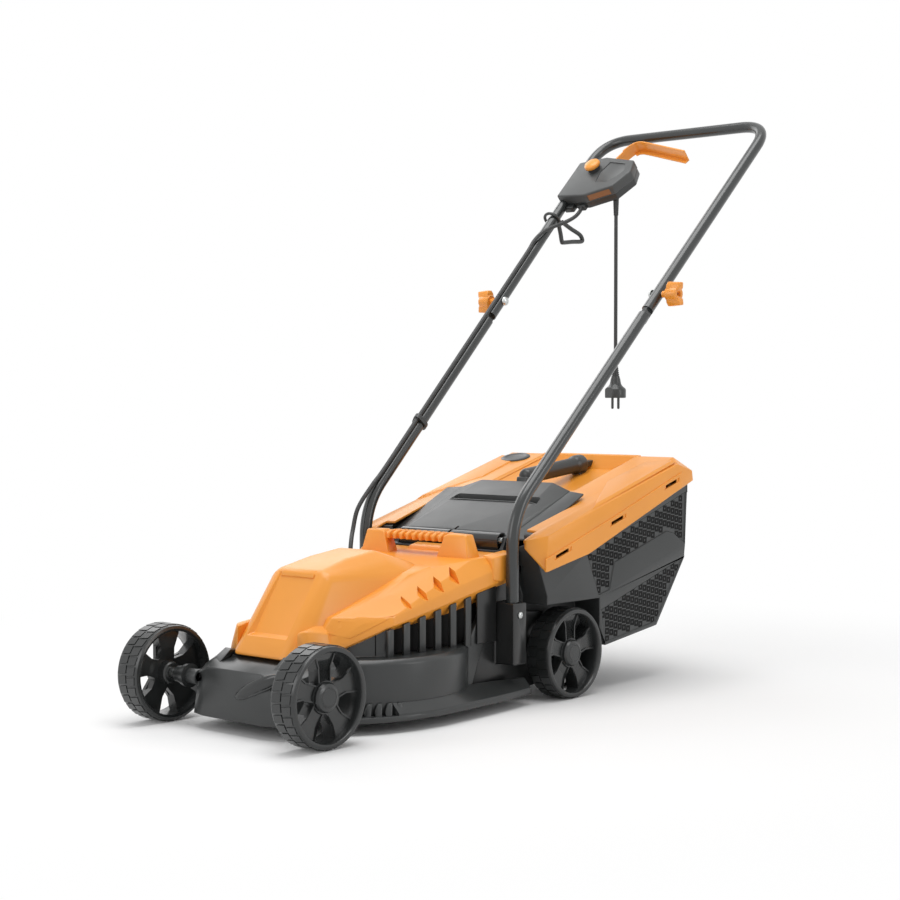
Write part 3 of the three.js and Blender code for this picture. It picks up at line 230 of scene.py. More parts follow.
def spin_profile(bm, profile, axis_place, axis, steps, start=None):
    """Spins (radius, height) pairs in millimetres about an axis; closed round and along."""
    axis = Vector(axis).normalized()
    across = start or axis.orthogonal().normalized()
    rim = [bm.verts.new(axis_place + across * radius * MM + axis * height * MM) for radius,
           height in profile]
    edges = [bm.edges.new(pair) for pair in zip(rim, rim[1:])]
    if profile[0][0] > 0 and profile[-1][0] > 0:
        edges.append(bm.edges.new((rim[-1], rim[0])))
    bmesh.ops.spin(bm, geom=rim + edges, cent=axis_place, axis=axis, angle=math.tau, steps=steps,
                   use_merge=True, use_duplicate=False)


def prism(bm, outline, depth):
    """A flat outline pushed through by a vector, closed at both ends."""
    face = bm.faces.new([bm.verts.new(point) for point in outline])
    pushed = bmesh.ops.extrude_face_region(bm, geom=[face], use_keep_orig=True)
    bmesh.ops.translate(bm, vec=depth, verts=ends_of(pushed, bmesh.types.BMVert))


def block(bm, low, high, place=Matrix.Identity(4)):
    """A box between two corners in millimetres, carried by a matrix."""
    low, high = Vector(low) * MM, Vector(high) * MM
    size = [abs(length) for length in high - low]
    bmesh.ops.create_cube(bm, size=1.0, matrix=place @ Matrix.Translation((low + high) / 2)
                          @ Matrix.Diagonal((*size, 1.0)))


def bend_corners(corners, reach, steps=10):
    """Points of a path with a rounded bend of `reach` millimetres at each corner."""
    path = [corners[0]]
    for before, corner, after in zip(corners, corners[1:], corners[2:]):
        start = corner + (before - corner).normalized() * reach * MM
        end = corner + (after - corner).normalized() * reach * MM
        for step in range(steps + 1):
            t = step / steps
            path.append(start * (1 - t) ** 2 + corner * 2 * t * (1 - t) + end * t * t)
    path.append(corners[-1])
    return path


def smooth_points(corners, per_span=6):
    """A Catmull-Rom run through the corners."""
    ends = [corners[0] * 2 - corners[1], *corners, corners[-1] * 2 - corners[-2]]
    points = []
    for a, b, c, d in zip(ends, ends[1:], ends[2:], ends[3:]):
        for step in range(per_span):
            t = step / per_span
            points.append(0.5 * (2 * b + (c - a) * t + (2 * a - 5 * b + 4 * c - d) * t * t
                                 + (3 * b - a - 3 * c + d) * t ** 3))
    points.append(corners[-1])
    return points


def loft(bm, rings):
    """Joins rings of places into one closed skin."""
    loops = []
    for ring in rings:
        verts = [bm.verts.new(place) for place in ring]
        loops.append((verts, [bm.edges.new(pair) for pair in zip(verts, verts[1:] + verts[:1])]))
    for (_, near), (_, far) in zip(loops, loops[1:]):
        bmesh.ops.bridge_loops(bm, edges=near + far)
    for verts, _ in (loops[0], loops[-1]):
        bm.faces.new(verts)


def sweep_tube(bm, path, radius, sides=24):
    """A round bar along a path: one ring of vertices carried and bridged from point to point."""
    tangent = (path[1] - path[0]).normalized()
    across = tangent.orthogonal().normalized()
    rings = []
    for index, point in enumerate(path):
        before = path[max(index - 1, 0)]
        after = path[min(index + 1, len(path) - 1)]
        tangent = (after - before).normalized()
        across = (across - tangent * across.dot(tangent)).normalized()
        other = tangent.cross(across)
        r = radius(index / (len(path) - 1)) if callable(radius) else radius
        ring = []
        for side in range(sides):
            angle = side * math.tau / sides
            ring.append(point + (across * math.cos(angle) + other * math.sin(angle)) * r * MM)
        rings.append(ring)
    loft(bm, rings)


# ------------------------------------------------------------------ finishes
def linear(text):
    """An sRGB hex colour as linear red, green and blue with full alpha."""
    values = [int(text[place:place + 2], 16) / 255 for place in (0, 2, 4)]
    return tuple(v / 12.92 if v <= 0.04045 else ((v + 0.055) / 1.055) ** 2.4 for v in values) + (1.0,)


def add_node(tree, kind, settings=(), values=(), links=()):
    """Adds one node with its settings, socket values and incoming links."""
    node = tree.nodes.new(kind)
    for name, value in dict(settings).items():
        setattr(node, name, value)
    for name, value in dict(values).items():
        node.inputs[name].default_value = value
    for name, source in dict(links).items():
        tree.links.new(source, node.inputs[name])
    return node


def new_finish(name, inputs=()):
    """An empty material with its shader and output; gives the tree, the shader and the place."""
    material = bpy.data.materials.new(name)
    material.use_nodes = True
    tree = material.node_tree
    tree.nodes.clear()
    place = add_node(tree, "ShaderNodeTexCoord").outputs["Object"]
    shader = add_node(tree, "ShaderNodeBsdfPrincipled", values=inputs)
    add_node(tree, "ShaderNodeOutputMaterial", links={"Surface": shader.outputs["BSDF"]})
    return tree, shader, place


def noise(tree, place, scale, detail):
    return add_node(tree, "ShaderNodeTexNoise", values={"Scale": scale, "Detail": detail},
                    links={"Vector": place}).outputs["Fac"]


def blend(tree, shader, source, colours, stops=(0.0, 1.0)):
    """Base colour between two near colours, as a value runs."""
    ramp = add_node(tree, "ShaderNodeValToRGB", links={"Fac": source})
    for element, stop, colour in zip(ramp.color_ramp.elements, stops, colours):
        element.position, element.color = stop, colour
    tree.links.new(ramp.outputs["Color"], shader.inputs["Base Color"])


def colour_drift(tree, shader, place, size, *colours):
    """A slow change between two near colours, from its size in metres."""
    blend(tree, shader, noise(tree, place, 1 / size, 3.0), colours, (0.3, 0.7))


def gloss_drift(tree, shader, source, low, high):
    """Roughness between two values, as a noise runs."""
    rough = add_node(tree, "ShaderNodeMapRange", values={"To Min": low, "To Max": high},
                     links={"Value": source})
    tree.links.new(rough.outputs["Result"], shader.inputs["Roughness"])


def relief(tree, shader, source, height, strength=1.0):
    """A fine bump, its height in metres."""
    bump = add_node(tree, "ShaderNodeBump", values={"Strength": strength, "Distance": height},
                    links={"Height": source})
    tree.links.new(bump.outputs["Normal"], shader.inputs["Normal"])


def lifted(colour):
    """A touch lighter than a linear colour, for the drift in a moulding."""
    return (*(channel * 1.05 + 0.004 for channel in colour[:3]), 1.0)


def moulded_plastic(name, colour, rough, grain, depth, specular=0.5):
    """Injection-moulded plastic: even colour, a soft sheen and the mould's spark grain."""
    tree, shader, place = new_finish(name, {"IOR": 1.54, "Specular IOR Level": specular})
    colour_drift(tree, shader, place, 0.09, tuple(colour), lifted(colour))
    gloss_drift(tree, shader, noise(tree, place, 40.0, 4.0), rough - 0.05, rough + 0.05)
    relief(tree, shader, noise(tree, place, 1 / grain, 2.0), depth)


def make_finishes():
    colours = bpy.context.scene.mower_colours
    # ABS, injection-moulded and left as moulded: clear orange with a satin gloss that
    # turns pale where the light strikes it, and the faint spark grain of the tool.
    moulded_plastic(ORANGE, colours.orange, 0.34, 0.0011, 0.00002)
    # The same plastic on small hand parts, which are polished smoother.
    moulded_plastic(HAND_ORANGE, linear("F09A36"), 0.26, 0.0009, 0.00001)
    # Polypropylene, moulded black: charcoal under light, a broad soft sheen, fine grain.
    moulded_plastic(BLACK, colours.black, 0.34, 0.0011, 0.00004)
    # The same black made darker still: painted shade for the rear of the housing, its sockets and the panel
    # beside them, which lie in shadow behind the uprights.
    moulded_plastic(SHADE_PAINTED_BLACK, linear("171818"), 0.3, 0.0011, 0.00003)
    # Nylon, glass-filled, with the fine mat grain of the switch case; its dark grey, lighter than the black
    # of the lower half, partly paints in the light on the case's top.
    moulded_plastic(GREY_NYLON, linear("424444"), 0.44, 0.0009, 0.00006)
    # ABS, moulded black and satin: the flap, the hook and the collar under the button.
    moulded_plastic(POLISHED_BLACK, linear("303232"), 0.4, 0.0012, 0.00001)
    # The same, polished in the mould, where it bends round the hinge.
    moulded_plastic(GLOSSY_BLACK, linear("262828"), 0.1, 0.0014, 0.00001)
    # Hard tyre plastic with a slight gloss and the rub of handling on its tread.
    moulded_plastic(WHEEL_PLASTIC, linear("262828"), 0.25, 0.0016, 0.00006)
    # Polypropylene for the grass box, a shade darker than the deck and more matte.
    moulded_plastic(CHARCOAL, linear("323434"), 0.42, 0.0012, 0.00005)
    # PVC flex: soft, dull and very finely wrinkled along its length.
    moulded_plastic(PVC, linear("242525"), 0.5, 0.0018, 0.00008)
    # Orange plastic of the switch gear, darkened to brown as painted shade, for where it is seen in the
    # shade of its window.
    moulded_plastic(SHADED_ORANGE, linear("8A5A33"), 0.5, 0.0012, 0.00003)
    # Painted shadow: near-black plastic with little gloss, put behind openings and in the mesh grooves
    # where the inside of the mower is seen in shade.
    moulded_plastic(SHADOW_PAINT_BLACK, linear("161616"), 0.6, 0.002, 0.00005, specular=0.1)

    # Steel tube, powder-coated and stoved: dark grey, glossy, with a fine orange peel.
    tree, shader, place = new_finish(COATED_STEEL,
                                     {"IOR": 1.5, "Coat Weight": 0.35, "Coat Roughness": 0.12})
    colour_drift(tree, shader, place, 0.12, tuple(colours.tube), lifted(colours.tube))
    gloss_drift(tree, shader, noise(tree, place, 420.0, 1.0), 0.2, 0.3)
    relief(tree, shader, noise(tree, place, 1 / 0.0024, 1.0), 0.00003, 0.6)

    # Steel, zinc-plated: pale, bright, with a faint cloudiness from the bath.
    tree, shader, place = new_finish(ZINC, {"Metallic": 1.0})
    colour_drift(tree, shader, place, 0.01, linear("B9BCBC"), linear("D2D4D2"))
    gloss_drift(tree, shader, noise(tree, place, 260.0, 3.0), 0.22, 0.36)

    # Blade steel, ground across its width and oiled: fine parallel scratches.
    tree, shader, place = new_finish(BLADE_STEEL, {"Metallic": 1.0})
    colour_drift(tree, shader, place, 0.03, linear("8E9192"), linear("A5A8A8"))
    stretch = add_node(tree, "ShaderNodeMapping", values={"Scale": (900.0, 30.0, 30.0)},
                       links={"Vector": place})
    scratch = noise(tree, stretch.outputs["Vector"], 1.0, 3.0)
    gloss_drift(tree, shader, scratch, 0.28, 0.5)
    relief(tree, shader, scratch, 0.00002, 0.4)

    # Aluminium, die-cast: light grey with a matte pebbled skin.
    tree, shader, place = new_finish(CAST, {"Metallic": 1.0, "Roughness": 0.5})
    colour_drift(tree, shader, place, 0.02, linear("9A9C9C"), linear("B2B4B4"))
    relief(tree, shader, noise(tree, place, 1 / 0.0015, 2.0), 0.0001)

    # Electrical steel, stamped and stacked: thin dark lines, drawn wider apart than
    # the real half millimetre so that they show.
    tree, shader, place = new_finish(LAMINATED, {"Metallic": 1.0, "Roughness": 0.45})
    sheets = add_node(tree, "ShaderNodeTexWave", {"bands_direction": "Z"}, {"Scale": 160.0},
                      {"Vector": place})
    blend(tree, shader, sheets.outputs["Fac"], (linear("4A4C4D"), linear("7D7F80")))


# ------------------------------------------------------------------ hood
def rounded_hull(bm, points, radius, segments=3, least=16.0):
    """A convex solid whose real edges are rounded."""
    verts = hull(bm, points)
    edges = {edge for v in verts for edge in v.link_edges
             if len(edge.link_faces) == 2 and edge.calc_face_angle(0) > math.radians(least)}
    bmesh.ops.bevel(bm, geom=list(edges), offset=radius * MM, offset_type="OFFSET", segments=segments,
                    profile=0.5, affect="EDGES", clamp_overlap=True, material=-1)


def build_hood():
    soft = bpy.context.scene.mower_sizes.hood_edge / MM
    bm = bmesh.new()
    rounded_hull(bm, both([
        (47, 33, 100.6), (68, 52, 100.6), (45, 117, 217), (59, 120, 207), (37, 172, 231), (36, 233, 239),
        (60, 233, 224), (56, 300, 216), (80, 275, 204), (83, 100, 100.6), (83, 275, 150), (60, 300, 150)]),
        soft, 4)
    # recessed front panel: its foot is a bright step, its head runs out under the brow
    panel = bmesh.new()
    slope = Vector((0, 84, 119)).normalized()
    out = Vector((0, -119, 84)).normalized()

    def on_front(x, along, lift):
        place = Vector((0, 33, 98)) + slope * along + out * lift
        return at(x, place.y, place.z)

    rounded_hull(panel, both([
        (36, 44, -6.4), (34, 138, -2), (42.4, 28, 6.4), (40, 146, 6)], on_front), 1.2, 3)
    as_piece(bm, "hood_dome", ORANGE, "motor_hood", sharp=30, cuts=(panel,))
    # brow over the panel: a soft roll across the front of the crown
    bm = bmesh.new()
    rounded_hull(bm, both([
        (33, 134, -3), (33, 134, -0.2), (30, 140, 1.2), (33, 147, -0.6), (33, 147, -5)], on_front), 1.4, 3)
    as_piece(bm, "hood_brow", ORANGE, body="base", sharp=30)

    # shoulders that spread back to the full width of the deck
    bm = bmesh.new()
    rounded_hull(bm, both([
        (70, 60, 100.8), (80, 86, 120), (77, 104, 156), (94, 98, 112), (90, 107, 140),
        (112, 131, 137.2), (109, 131, 147), (122, 152, 154), (136, 168, 144), (134, 168, 156),
        (84, 255, 206), (120, 350, 222), (128, 425, 226), (84, 425, 226),
        (137, 425, 191.6), (136, 425, 214), (100, 425, 150), (70, 200, 110)]), 3.2, 3, 12)
    # raised ledge round the foot of the crown
    rounded_hull(bm, both([
        (92.5, 128, 150), (97, 294, 208), (94.2, 150, 162.6), (97, 292, 211.4), (86, 108, 151.6),
        (88.6, 250, 205.8),
        (91, 290, 214), (66, 108, 152), (66, 250, 208), (70, 300, 214.6), (66, 128, 146), (70, 300, 200)]),
        0.7, 2, 12)
    # row of finger notches along the edge of each shoulder
    notches = bmesh.new()
    for sign in (1, -1):
        for index in range(4):
            y, z = 208.5 + 34.4 * index, 177.4 + 8.7 * index
            hull(notches, [at(sign * x, y - back, z + up) for x, back, up in (
                (110, 0, -1), (110, 0, 30), (142, 6.4, 30), (142, 34, 30),
                (129, 2, -13), (142, 6.4, -15), (127, 18, -7), (142, 34, -9))])
        rounded_hull(bm, one_side(sign, [
            (100, 322, 196), (100, 400, 214), (121, 324, 208), (120, 376, 223.5), (119, 425, 225.5),
            (134, 332, 188), (137.4, 424, 190), (138, 424, 210), (100, 424, 226), (131, 376, 214)]), 2, 2,
            12)
        # lug that reaches round the upright tube
        rounded_hull(bm, one_side(sign, [
            (118, 378, 190), (118, 378, 226), (138, 380, 190), (136, 380, 223), (140.6, 394, 187),
            (140.6, 394, 225),
            (140.6, 426, 190), (140.6, 426, 229), (118, 426, 190), (118, 426, 231)]), 2.4, 3)
        # pale flat on the shoulder's front corner
        rounded_hull(bm, [at(sign * (x + 0.69 * lift), y - 0.6 * lift, z + 0.42 * lift) for lift in (-6,
                                                                                                     1.2)
                          for x, y, z in ((81, 94, 134), (100, 132, 157), (130, 162, 153),
                                          (102, 114, 128))], 0.5, 2)
        # ear beside the foot of the crown
        rounded_hull(bm, one_side(sign, [
            (60, 52, 101), (87, 62, 101), (92, 92, 101), (60, 52, 138), (70, 60, 141), (84, 90, 136),
            (60, 110, 150)]), 2.4, 3)
    as_piece(bm, "hood_shoulders", ORANGE, body="base", sharp=30, cuts=(notches,))

    # dark sheet behind the vents: painted shadow where the inside of the hood is seen
    bm = bmesh.new()
    hull(bm, both([(116, 150, 101), (116, 400, 101), (116, 150, 140), (116, 400, 186)]))
    as_piece(bm, "hood_shadow_sheet", SHADOW_PAINT_BLACK, body="base", sharp=30)


def build_carry_handle():
    bm = bmesh.new()
    for sign in (1, -1):
        rounded_hull(bm, one_side(sign, [
            (44, 350, 209), (62, 355, 254), (68, 359, 257), (101, 359, 256), (112, 352, 210),
            (50, 380, 211), (66, 376, 257), (100, 378, 256), (116, 380, 211)]), 2.4, 3, 14)
    rounded_hull(bm, both([
        (84, 360, 246), (84, 360, 252), (84, 364, 254), (84, 382, 254), (84, 386, 251), (84, 386, 246)]), 2,
        3)
    ribs = 9
    for index in range(ribs):
        middle_x = (index - (ribs - 1) / 2) * 13.2
        rounded_hull(bm, [at(middle_x + x + lean, y, z) for x in (-2.9, 2.9) for y, z, lean in (
            (355.5, 243.5, -1), (355.5, 251, -1), (361, 256.6, 0), (382, 257, 2), (388.5, 252, 2.4),
            (388.5, 244, 2.4))], 1.3, 2)
    # cradle under the grip that the fingers reach into
    rounded_hull(bm, both([
        (56, 398, 222), (54, 426, 222), (52, 404, 231), (56, 426, 234)]), 2.5, 3)
    as_piece(bm, "carry_handle_grip", ORANGE, "carry_handle", sharp=30)


# ------------------------------------------------------------------ deck
def build_deck():
    as_piece(cad_shell("deck_housing"), "deck_moulding", BLACK, "deck_housing", bevel=2.2, segments=3,
             sharp=28, recalc=False)
    # painted shade: the rear of the housing and the sockets get a darker black, for the shadow they lie in
    deck = bpy.data.objects["deck_moulding"].data
    deck.materials.append(bpy.data.materials[SHADE_PAINTED_BLACK])
    for face in deck.polygons:
        face.material_index = int(face.center.y > at(0, 372, 0).y)
    # leaf-shaped scoop on the bumper
    scoop = bmesh.new()
    bmesh.ops.create_uvsphere(scoop, u_segments=32, v_segments=20, radius=1.0)
    bmesh.ops.scale(scoop, vec=(0.042, 0.0052, 0.0105), verts=scoop.verts)
    bmesh.ops.rotate(scoop, matrix=Matrix.Rotation(math.radians(-25), 3, "Y"), verts=scoop.verts)
    bmesh.ops.rotate(scoop, matrix=Matrix.Rotation(math.radians(9), 3, "Z"), verts=scoop.verts)
    bmesh.ops.translate(scoop, vec=at(46, -8.4, 70), verts=scoop.verts)
    as_piece(scoop, "scoop_leaf", GLOSSY_BLACK, body="base", sharp=60)
    bm = bmesh.new()
    for sign in (1, -1):
        # wedge that fairs the bumper's top into the hood
        rounded_hull(bm, one_side(sign, [
            (54, 6, 86), (84, 10, 78), (56, 28, 98), (98, 32, 85), (54, 33, 107), (74, 42, 107.6),
            (60, 58, 104),
            (92, 60, 99), (80, 52, 104)]), 1.6, 3)
        # flared boss on the bumper's end for the front axle
        spin_profile(bm, [(0, 0), (17, 0), (16, 8), (12.5, 16), (11.4, 26), (0, 26)],
                     at(sign * 100, 0, 69.4), (sign, 0, 0), 40)
    as_piece(bm, "deck_fairings", BLACK, body="base", sharp=30)
    # the lips of the scoop
    bm = bmesh.new()
    lip = [at(x, y, z) for x, y, z in ((9, -11.9, 56.4), (22, -12, 55.4), (38, -12, 58), (54, -11.4, 64),
                                      (70, -8.4, 71), (82, -5, 79))]
    sweep_tube(bm, smooth_points(lip, 8), lambda t: 0.4 + 1.3 * math.sin(math.pi * t), 12)
    as_piece(bm, "scoop_lip", GLOSSY_BLACK, body="base", sharp=60)
    build_combs()


def on_ring(sign, degrees, radius, z):
    """A place round the blade housing, from its side towards the rear."""
    turn = math.radians(degrees)
    return at(sign * radius * math.cos(turn), RING_Y + radius * math.sin(turn), z)


def build_combs():
    for side, sign in SIDES:
        soften(f"lawn_comb_{side}", f"comb_rim_{side}", BLACK, 1.0)
        bm = bmesh.new()
        # skirt that flares from the housing to the rim
        outer = smooth_points([Vector(place) for place in (
            (163, 148, 0), (172, 178, 0), (177.4, 225, 0), (175.4, 290, 0), (169.6, 380, 0),
            (162.4, 437, 0))], 6)
        rings = []
        for point in outer:
            near = math.sqrt(max(168.6 ** 2 - (point.y - RING_Y) ** 2, 0)) if point.y < 330 else 132 + (
                point.y - 330) * 0.17
            rings.append([at(sign * point.x, point.y, 22.5), at(sign * point.x, point.y, 26.5),
                          at(sign * (point.x * 0.55 + near * 0.45), point.y, 33),
                          at(sign * near, point.y, 40),
                          at(sign * (near - 6), point.y, 40), at(sign * (near - 6), point.y, 22.5)])
        loft(bm, rings)
        # swept teeth ahead of the skirt
        for index in range(7):
            start = -56 + 4.9 * index
            rounded_hull(bm, [on_ring(sign, start + turn, radius, z) for turn, radius, z in (
                (1.8, 166, 41), (4.4, 166, 41), (2.2, 170.6, 40), (4.2, 171, 40), (0.6, 166, 19),
                (3.6, 166, 19),
                (0.8, 177, 19.4), (3.4, 177.6, 19.4), (0.2, 175, 29), (3.3, 175.6, 30))], 0.8, 2)
        as_piece(bm, f"comb_teeth_{side}", BLACK, body="base", sharp=30)


def build_vents():
    for side, sign in SIDES:
        bm = bmesh.new()
        edge = lambda y: 131 + 0.185 * (y - 100) - 4
        rounded_hull(bm, [at(sign * x, y, z) for x in (131, 135.5) for y, z in (
            (156, 98), (167, 98), (167, edge(167)), (156, edge(156)))], 0.8, 2)
        for index in range(5):
            start = 188 + 33 * index
            stop = start + 13
            rounded_hull(bm, [at(sign * x, y, z) for x in (130.6, 135.2) for y, z in (
                (start, 98), (stop, 98), (stop, edge(stop)), (start, edge(start)))], 1.0, 2)
        as_piece(bm, f"vent_louvres_{side}", BLACK, f"side_vent_{side}", sharp=30)
        # smooth panel from the louvres to the socket, in the darker black of painted shade
        bm = bmesh.new()
        rounded_hull(bm, [at(sign * x, y, z) for x in (130, 134) for y, z in (
            (348, 98), (391, 98), (391, edge(391)), (348, edge(348)))], 1.4, 3)
        as_piece(bm, f"vent_panel_{side}", SHADE_PAINTED_BLACK, body="base", sharp=30)


# ------------------------------------------------------------------ wheels
def wheel_mesh():
    """One wheel about the X axis at the origin, its outer face towards +X, in metres."""
    tread = bpy.context.scene.mower_sizes.wheel_tread / MM
    half = TYRE_HALF
    bm = bmesh.new()
    # drum, rolled lips and dished web as one turned section
    spin_profile(bm, [
        (57.5, 4), (59.5, half - 3), (61, half - 0.6), (64, half), (tread - 2.6, half - 0.8),
        (tread - 1.2, half - 4), (tread - 1.2, 4 - half), (tread - 2.6, 0.8 - half), (63, -half),
        (59.5, 1.5 - half), (57.5, -4),
    ], ORIGIN, X_AXIS, 96, Z_AXIS)
    # tread: two staggered rows of slanting bars
    blocks = 30
    for index in range(blocks):
        for row, slant in ((-1, 1), (1, -1)):
            turn = (index + (0.25 if row > 0 else 0)) * math.tau / blocks
            outline = [(row * 1.2, -6), (row * 16.5, -3.6), (row * 17.6, 8.2), (row * 1.2, 5.8)]
            points = [Vector((x, side * 1.0 * slant, 0)) for x, side in outline]
            near = [Vector((p.x, 0, 0)) * MM + Matrix.Rotation(turn + p.y / tread, 3, "X")
                    @ Vector((0, 0, (tread - 0.7) * MM)) for p in points]
            far = [Vector((p.x, 0, 0)) * MM + Matrix.Rotation(turn + p.y * 0.95 / tread, 3, "X")
                   @ Vector((0, 0, tread * MM)) for p in points]
            hull(bm, near + far)
    # five spokes: a broad web with two raised ribs that run into the hub
    for index in range(5):
        turn = Matrix.Rotation((index + 0.5) * math.tau / 5 + math.pi / 5, 3, "X")

        def spoke(points):
            return [turn @ (Vector(point) * MM) for point in points]

        hull(bm, spoke([(x, side * width, radius) for side in (-1, 1) for x, width, radius in (
            (-6, 13, 16), (9.4, 12, 16), (-8, 12, 34), (8.6, 11, 34))]))
        hull(bm, spoke([(x, side * width, radius) for side in (-1, 1) for x, width, radius in (
            (-8, 12, 34), (8.6, 11, 34), (-9, 15, 48), (9, 14, 48), (-9, 21, 58.4), (10, 20, 58.4))]))
        for side in (-1, 1):
            hull(bm, spoke([(x, side * width, radius) for x, width, radius in (
                (4, 12, 17), (11, 11.4, 17), (4, 8.6, 17), (11, 9.2, 17),
                (4, 12.6, 40), (10.4, 12, 40), (4, 9.4, 40), (10.4, 10, 40))]))
            hull(bm, spoke([(x, side * width, radius) for x, width, radius in (
                (4, 12.6, 40), (10.4, 12, 40), (4, 9.4, 40), (10.4, 10, 40),
                (4, 20, 58.4), (12, 19.4, 58.4), (4, 16.4, 58.4), (12, 17, 58.4))]))
    # hub barrel with its rim round the cap
    spin_profile(bm, [(4.3, -18), (13.5, -18), (15.5, -16), (17.5, -6), (23.2, -5), (23.2, 9.4), (22, 11.5),
                      (20.4, 11.5), (20.4, 9), (4.3, 9)], ORIGIN, X_AXIS, 48, Z_AXIS)
    outward(bm)
    return new_mesh(bm, "wheel_form")


def cap_mesh():
    """The domed hub cap with its shallow ring, about the X axis."""
    bm = bmesh.new()
    spin_profile(bm, [(0, 19), (11.5, 18.8), (12.2, 18.1), (13.2, 18.1), (14, 18.7), (18.4, 17.4),
                      (20.2, 14.6), (20.2, 10.4), (0, 10.4)], ORIGIN, X_AXIS, 48, Z_AXIS)
    outward(bm)
    return new_mesh(bm, "cap_form")


def build_wheels():
    forms = (("tyre", "wheel", wheel_mesh()), ("cap", "hub_cap", cap_mesh()))
    for end, y in (("front", AXLE.y), ("rear", REAR_AXLE.y)):
        for side, sign in SIDES:
            turn = Matrix.Rotation(0 if sign > 0 else math.pi, 4, "Z")
            place = Matrix.Translation((sign * AXLE.x, y, AXLE.z)) @ turn
            for name, node, form in forms:
                bm = bmesh.new()
                bm.from_mesh(form)
                bmesh.ops.transform(bm, matrix=place, verts=bm.verts)
                as_piece(bm, f"{name}_{end}_{side}", WHEEL_PLASTIC, f"{node}_{end}_{side}", sharp=32,
                         recalc=False)
    for _, _, form in forms:
        bpy.data.meshes.remove(form)


# ------------------------------------------------------------------ tubes
def build_tubes():
    for side, sign in SIDES:
        bm = bmesh.new()
        foot = on_handle(sign * 163.7, -50)
        corners = [at(sign * FOOT_X, FOOT_Y, 112.6), at(sign * FOOT_X, FOOT_Y, 286.6), foot]
        sweep_tube(bm, bend_corners(corners, 52, 14), TUBE_RADIUS, 32)
        # flattened end with a round tip, where the knob's bolt goes through
        faces = [sign * PIVOT_X + x for x in (-3.8, 3.8)]
        turns = [math.pi * step / 12 for step in range(13)]
        hull(bm, [on_handle(x, along, up) for x in faces for along in (-62, 0) for up in (-8, 8)]
             + [on_handle(x, 8.2 * math.sin(turn), 8.2 * math.cos(turn)) for x in faces for turn in turns])
        as_piece(bm, f"lower_tube_shell_{side}", COATED_STEEL, f"lower_tube_{side}", sharp=40)
    build_upper_tube()


def build_upper_tube():
    bm = bmesh.new()
    foot = PIVOT_X - 38 * SPLAY
    corners = [on_handle(-foot, -38), on_handle(-CROSSBAR_X, CROSSBAR_ALONG),
               on_handle(CROSSBAR_X, CROSSBAR_ALONG), on_handle(foot, -38)]
    sweep_tube(bm, bend_corners(corners, 62, 18), TUBE_RADIUS, 36)
    as_piece(bm, "upper_tube_shell", COATED_STEEL, "upper_tube", sharp=40)


# ------------------------------------------------------------------ mains lead
def below_gland(drop):
    """A place straight down from the switch box's cord gland."""
    return on_handle(*GLAND) + Vector((0, 0, -drop)) * MM


def build_mains_lead():
    top, end = below_gland(34.3), 514 * MM
    steps = 18
    route = [Vector((top.x, top.y, top.z + (end - top.z) * step / steps)) for step in range(steps + 1)]
    body = body_of("mains_cord")
    bm = bmesh.new()
    sweep_tube(bm, route, 3.3, 20)
    cord = as_piece(bm, "mains_flex", PVC, "mains_cord", sharp=60)

    # two-pin plug with a ribbed neck and flattened sides
    foot = Vector((top.x, top.y, 456.7 * MM))
    turn = Matrix.Translation(foot) @ Matrix.Rotation(math.radians(-20), 4, "Z")
    neck = []
    for rib in range(5):
        radius, height = 7.3 - 0.5 * rib, 38 + 3.6 * rib
        neck += [(radius, height), (radius, height + 2), (radius - 1.3, height + 2.4),
                 (radius - 1.3, height + 3.2)]
    bm = bmesh.new()
    spin_profile(bm, [(0, 0), (17.8, 0), (18.8, 1), (19, 2.6), (19, 14.6), (18.2, 16.6), (12.8, 21.4),
                      (10.4, 25),
                      (9.3, 30), (8.7, 34), *neck, (5.4, 56.2), (4.2, 57), (0, 57)], foot, (0, 0, 1), 48)
    flats = []
    for sign in (1, -1):
        flat = bmesh.new()
        block(flat, (-30, sign * 15, -2), (30, sign * 40, 19), turn)
        flats.append(flat)
    plug = as_piece(bm, "plug_body", BLACK, "mains_plug", sharp=35, cuts=flats)
    bm = bmesh.new()
    for sign in (1, -1):
        spin_profile(bm, [(0, -20), (1.5, -19.8), (2.3, -18.6), (2.4, -17.5), (2.4, 2), (0, 2)],
                     turn @ Vector((sign * 9.5 * MM, 0, 0)), (0, 0, 1), 20)
    pins = as_piece(bm, "plug_pins", COATED_STEEL, body=body, sharp=50)

    # gland: a flange under the box and a ribbed sleeve that turns down
    bm = bmesh.new()
    spin_profile(bm, [(0, -3), (7.2, -3), (8, -2.4), (8, -0.3), (0, -0.3)], on_handle(*GLAND),
                 HANDLE_UP, 36)
    sweep_tube(bm, [below_gland(drop) for drop in range(1, 35)],
               lambda t: 5.4 - 1.2 * t + 0.25 * math.cos(t * 60), 28)
    as_piece(bm, "gland_sleeve", PVC, "cord_gland", sharp=30)


# ------------------------------------------------------------------ motor lead
def on_lead(along, lift=0.0):
    """A place on the lead where it lies along the top of the right-hand tubes."""
    splay = SPLAY if along > 0 else LOWER_SPLAY
    return on_handle(-LEAD_X - along * splay, along, LEAD_UP + lift)


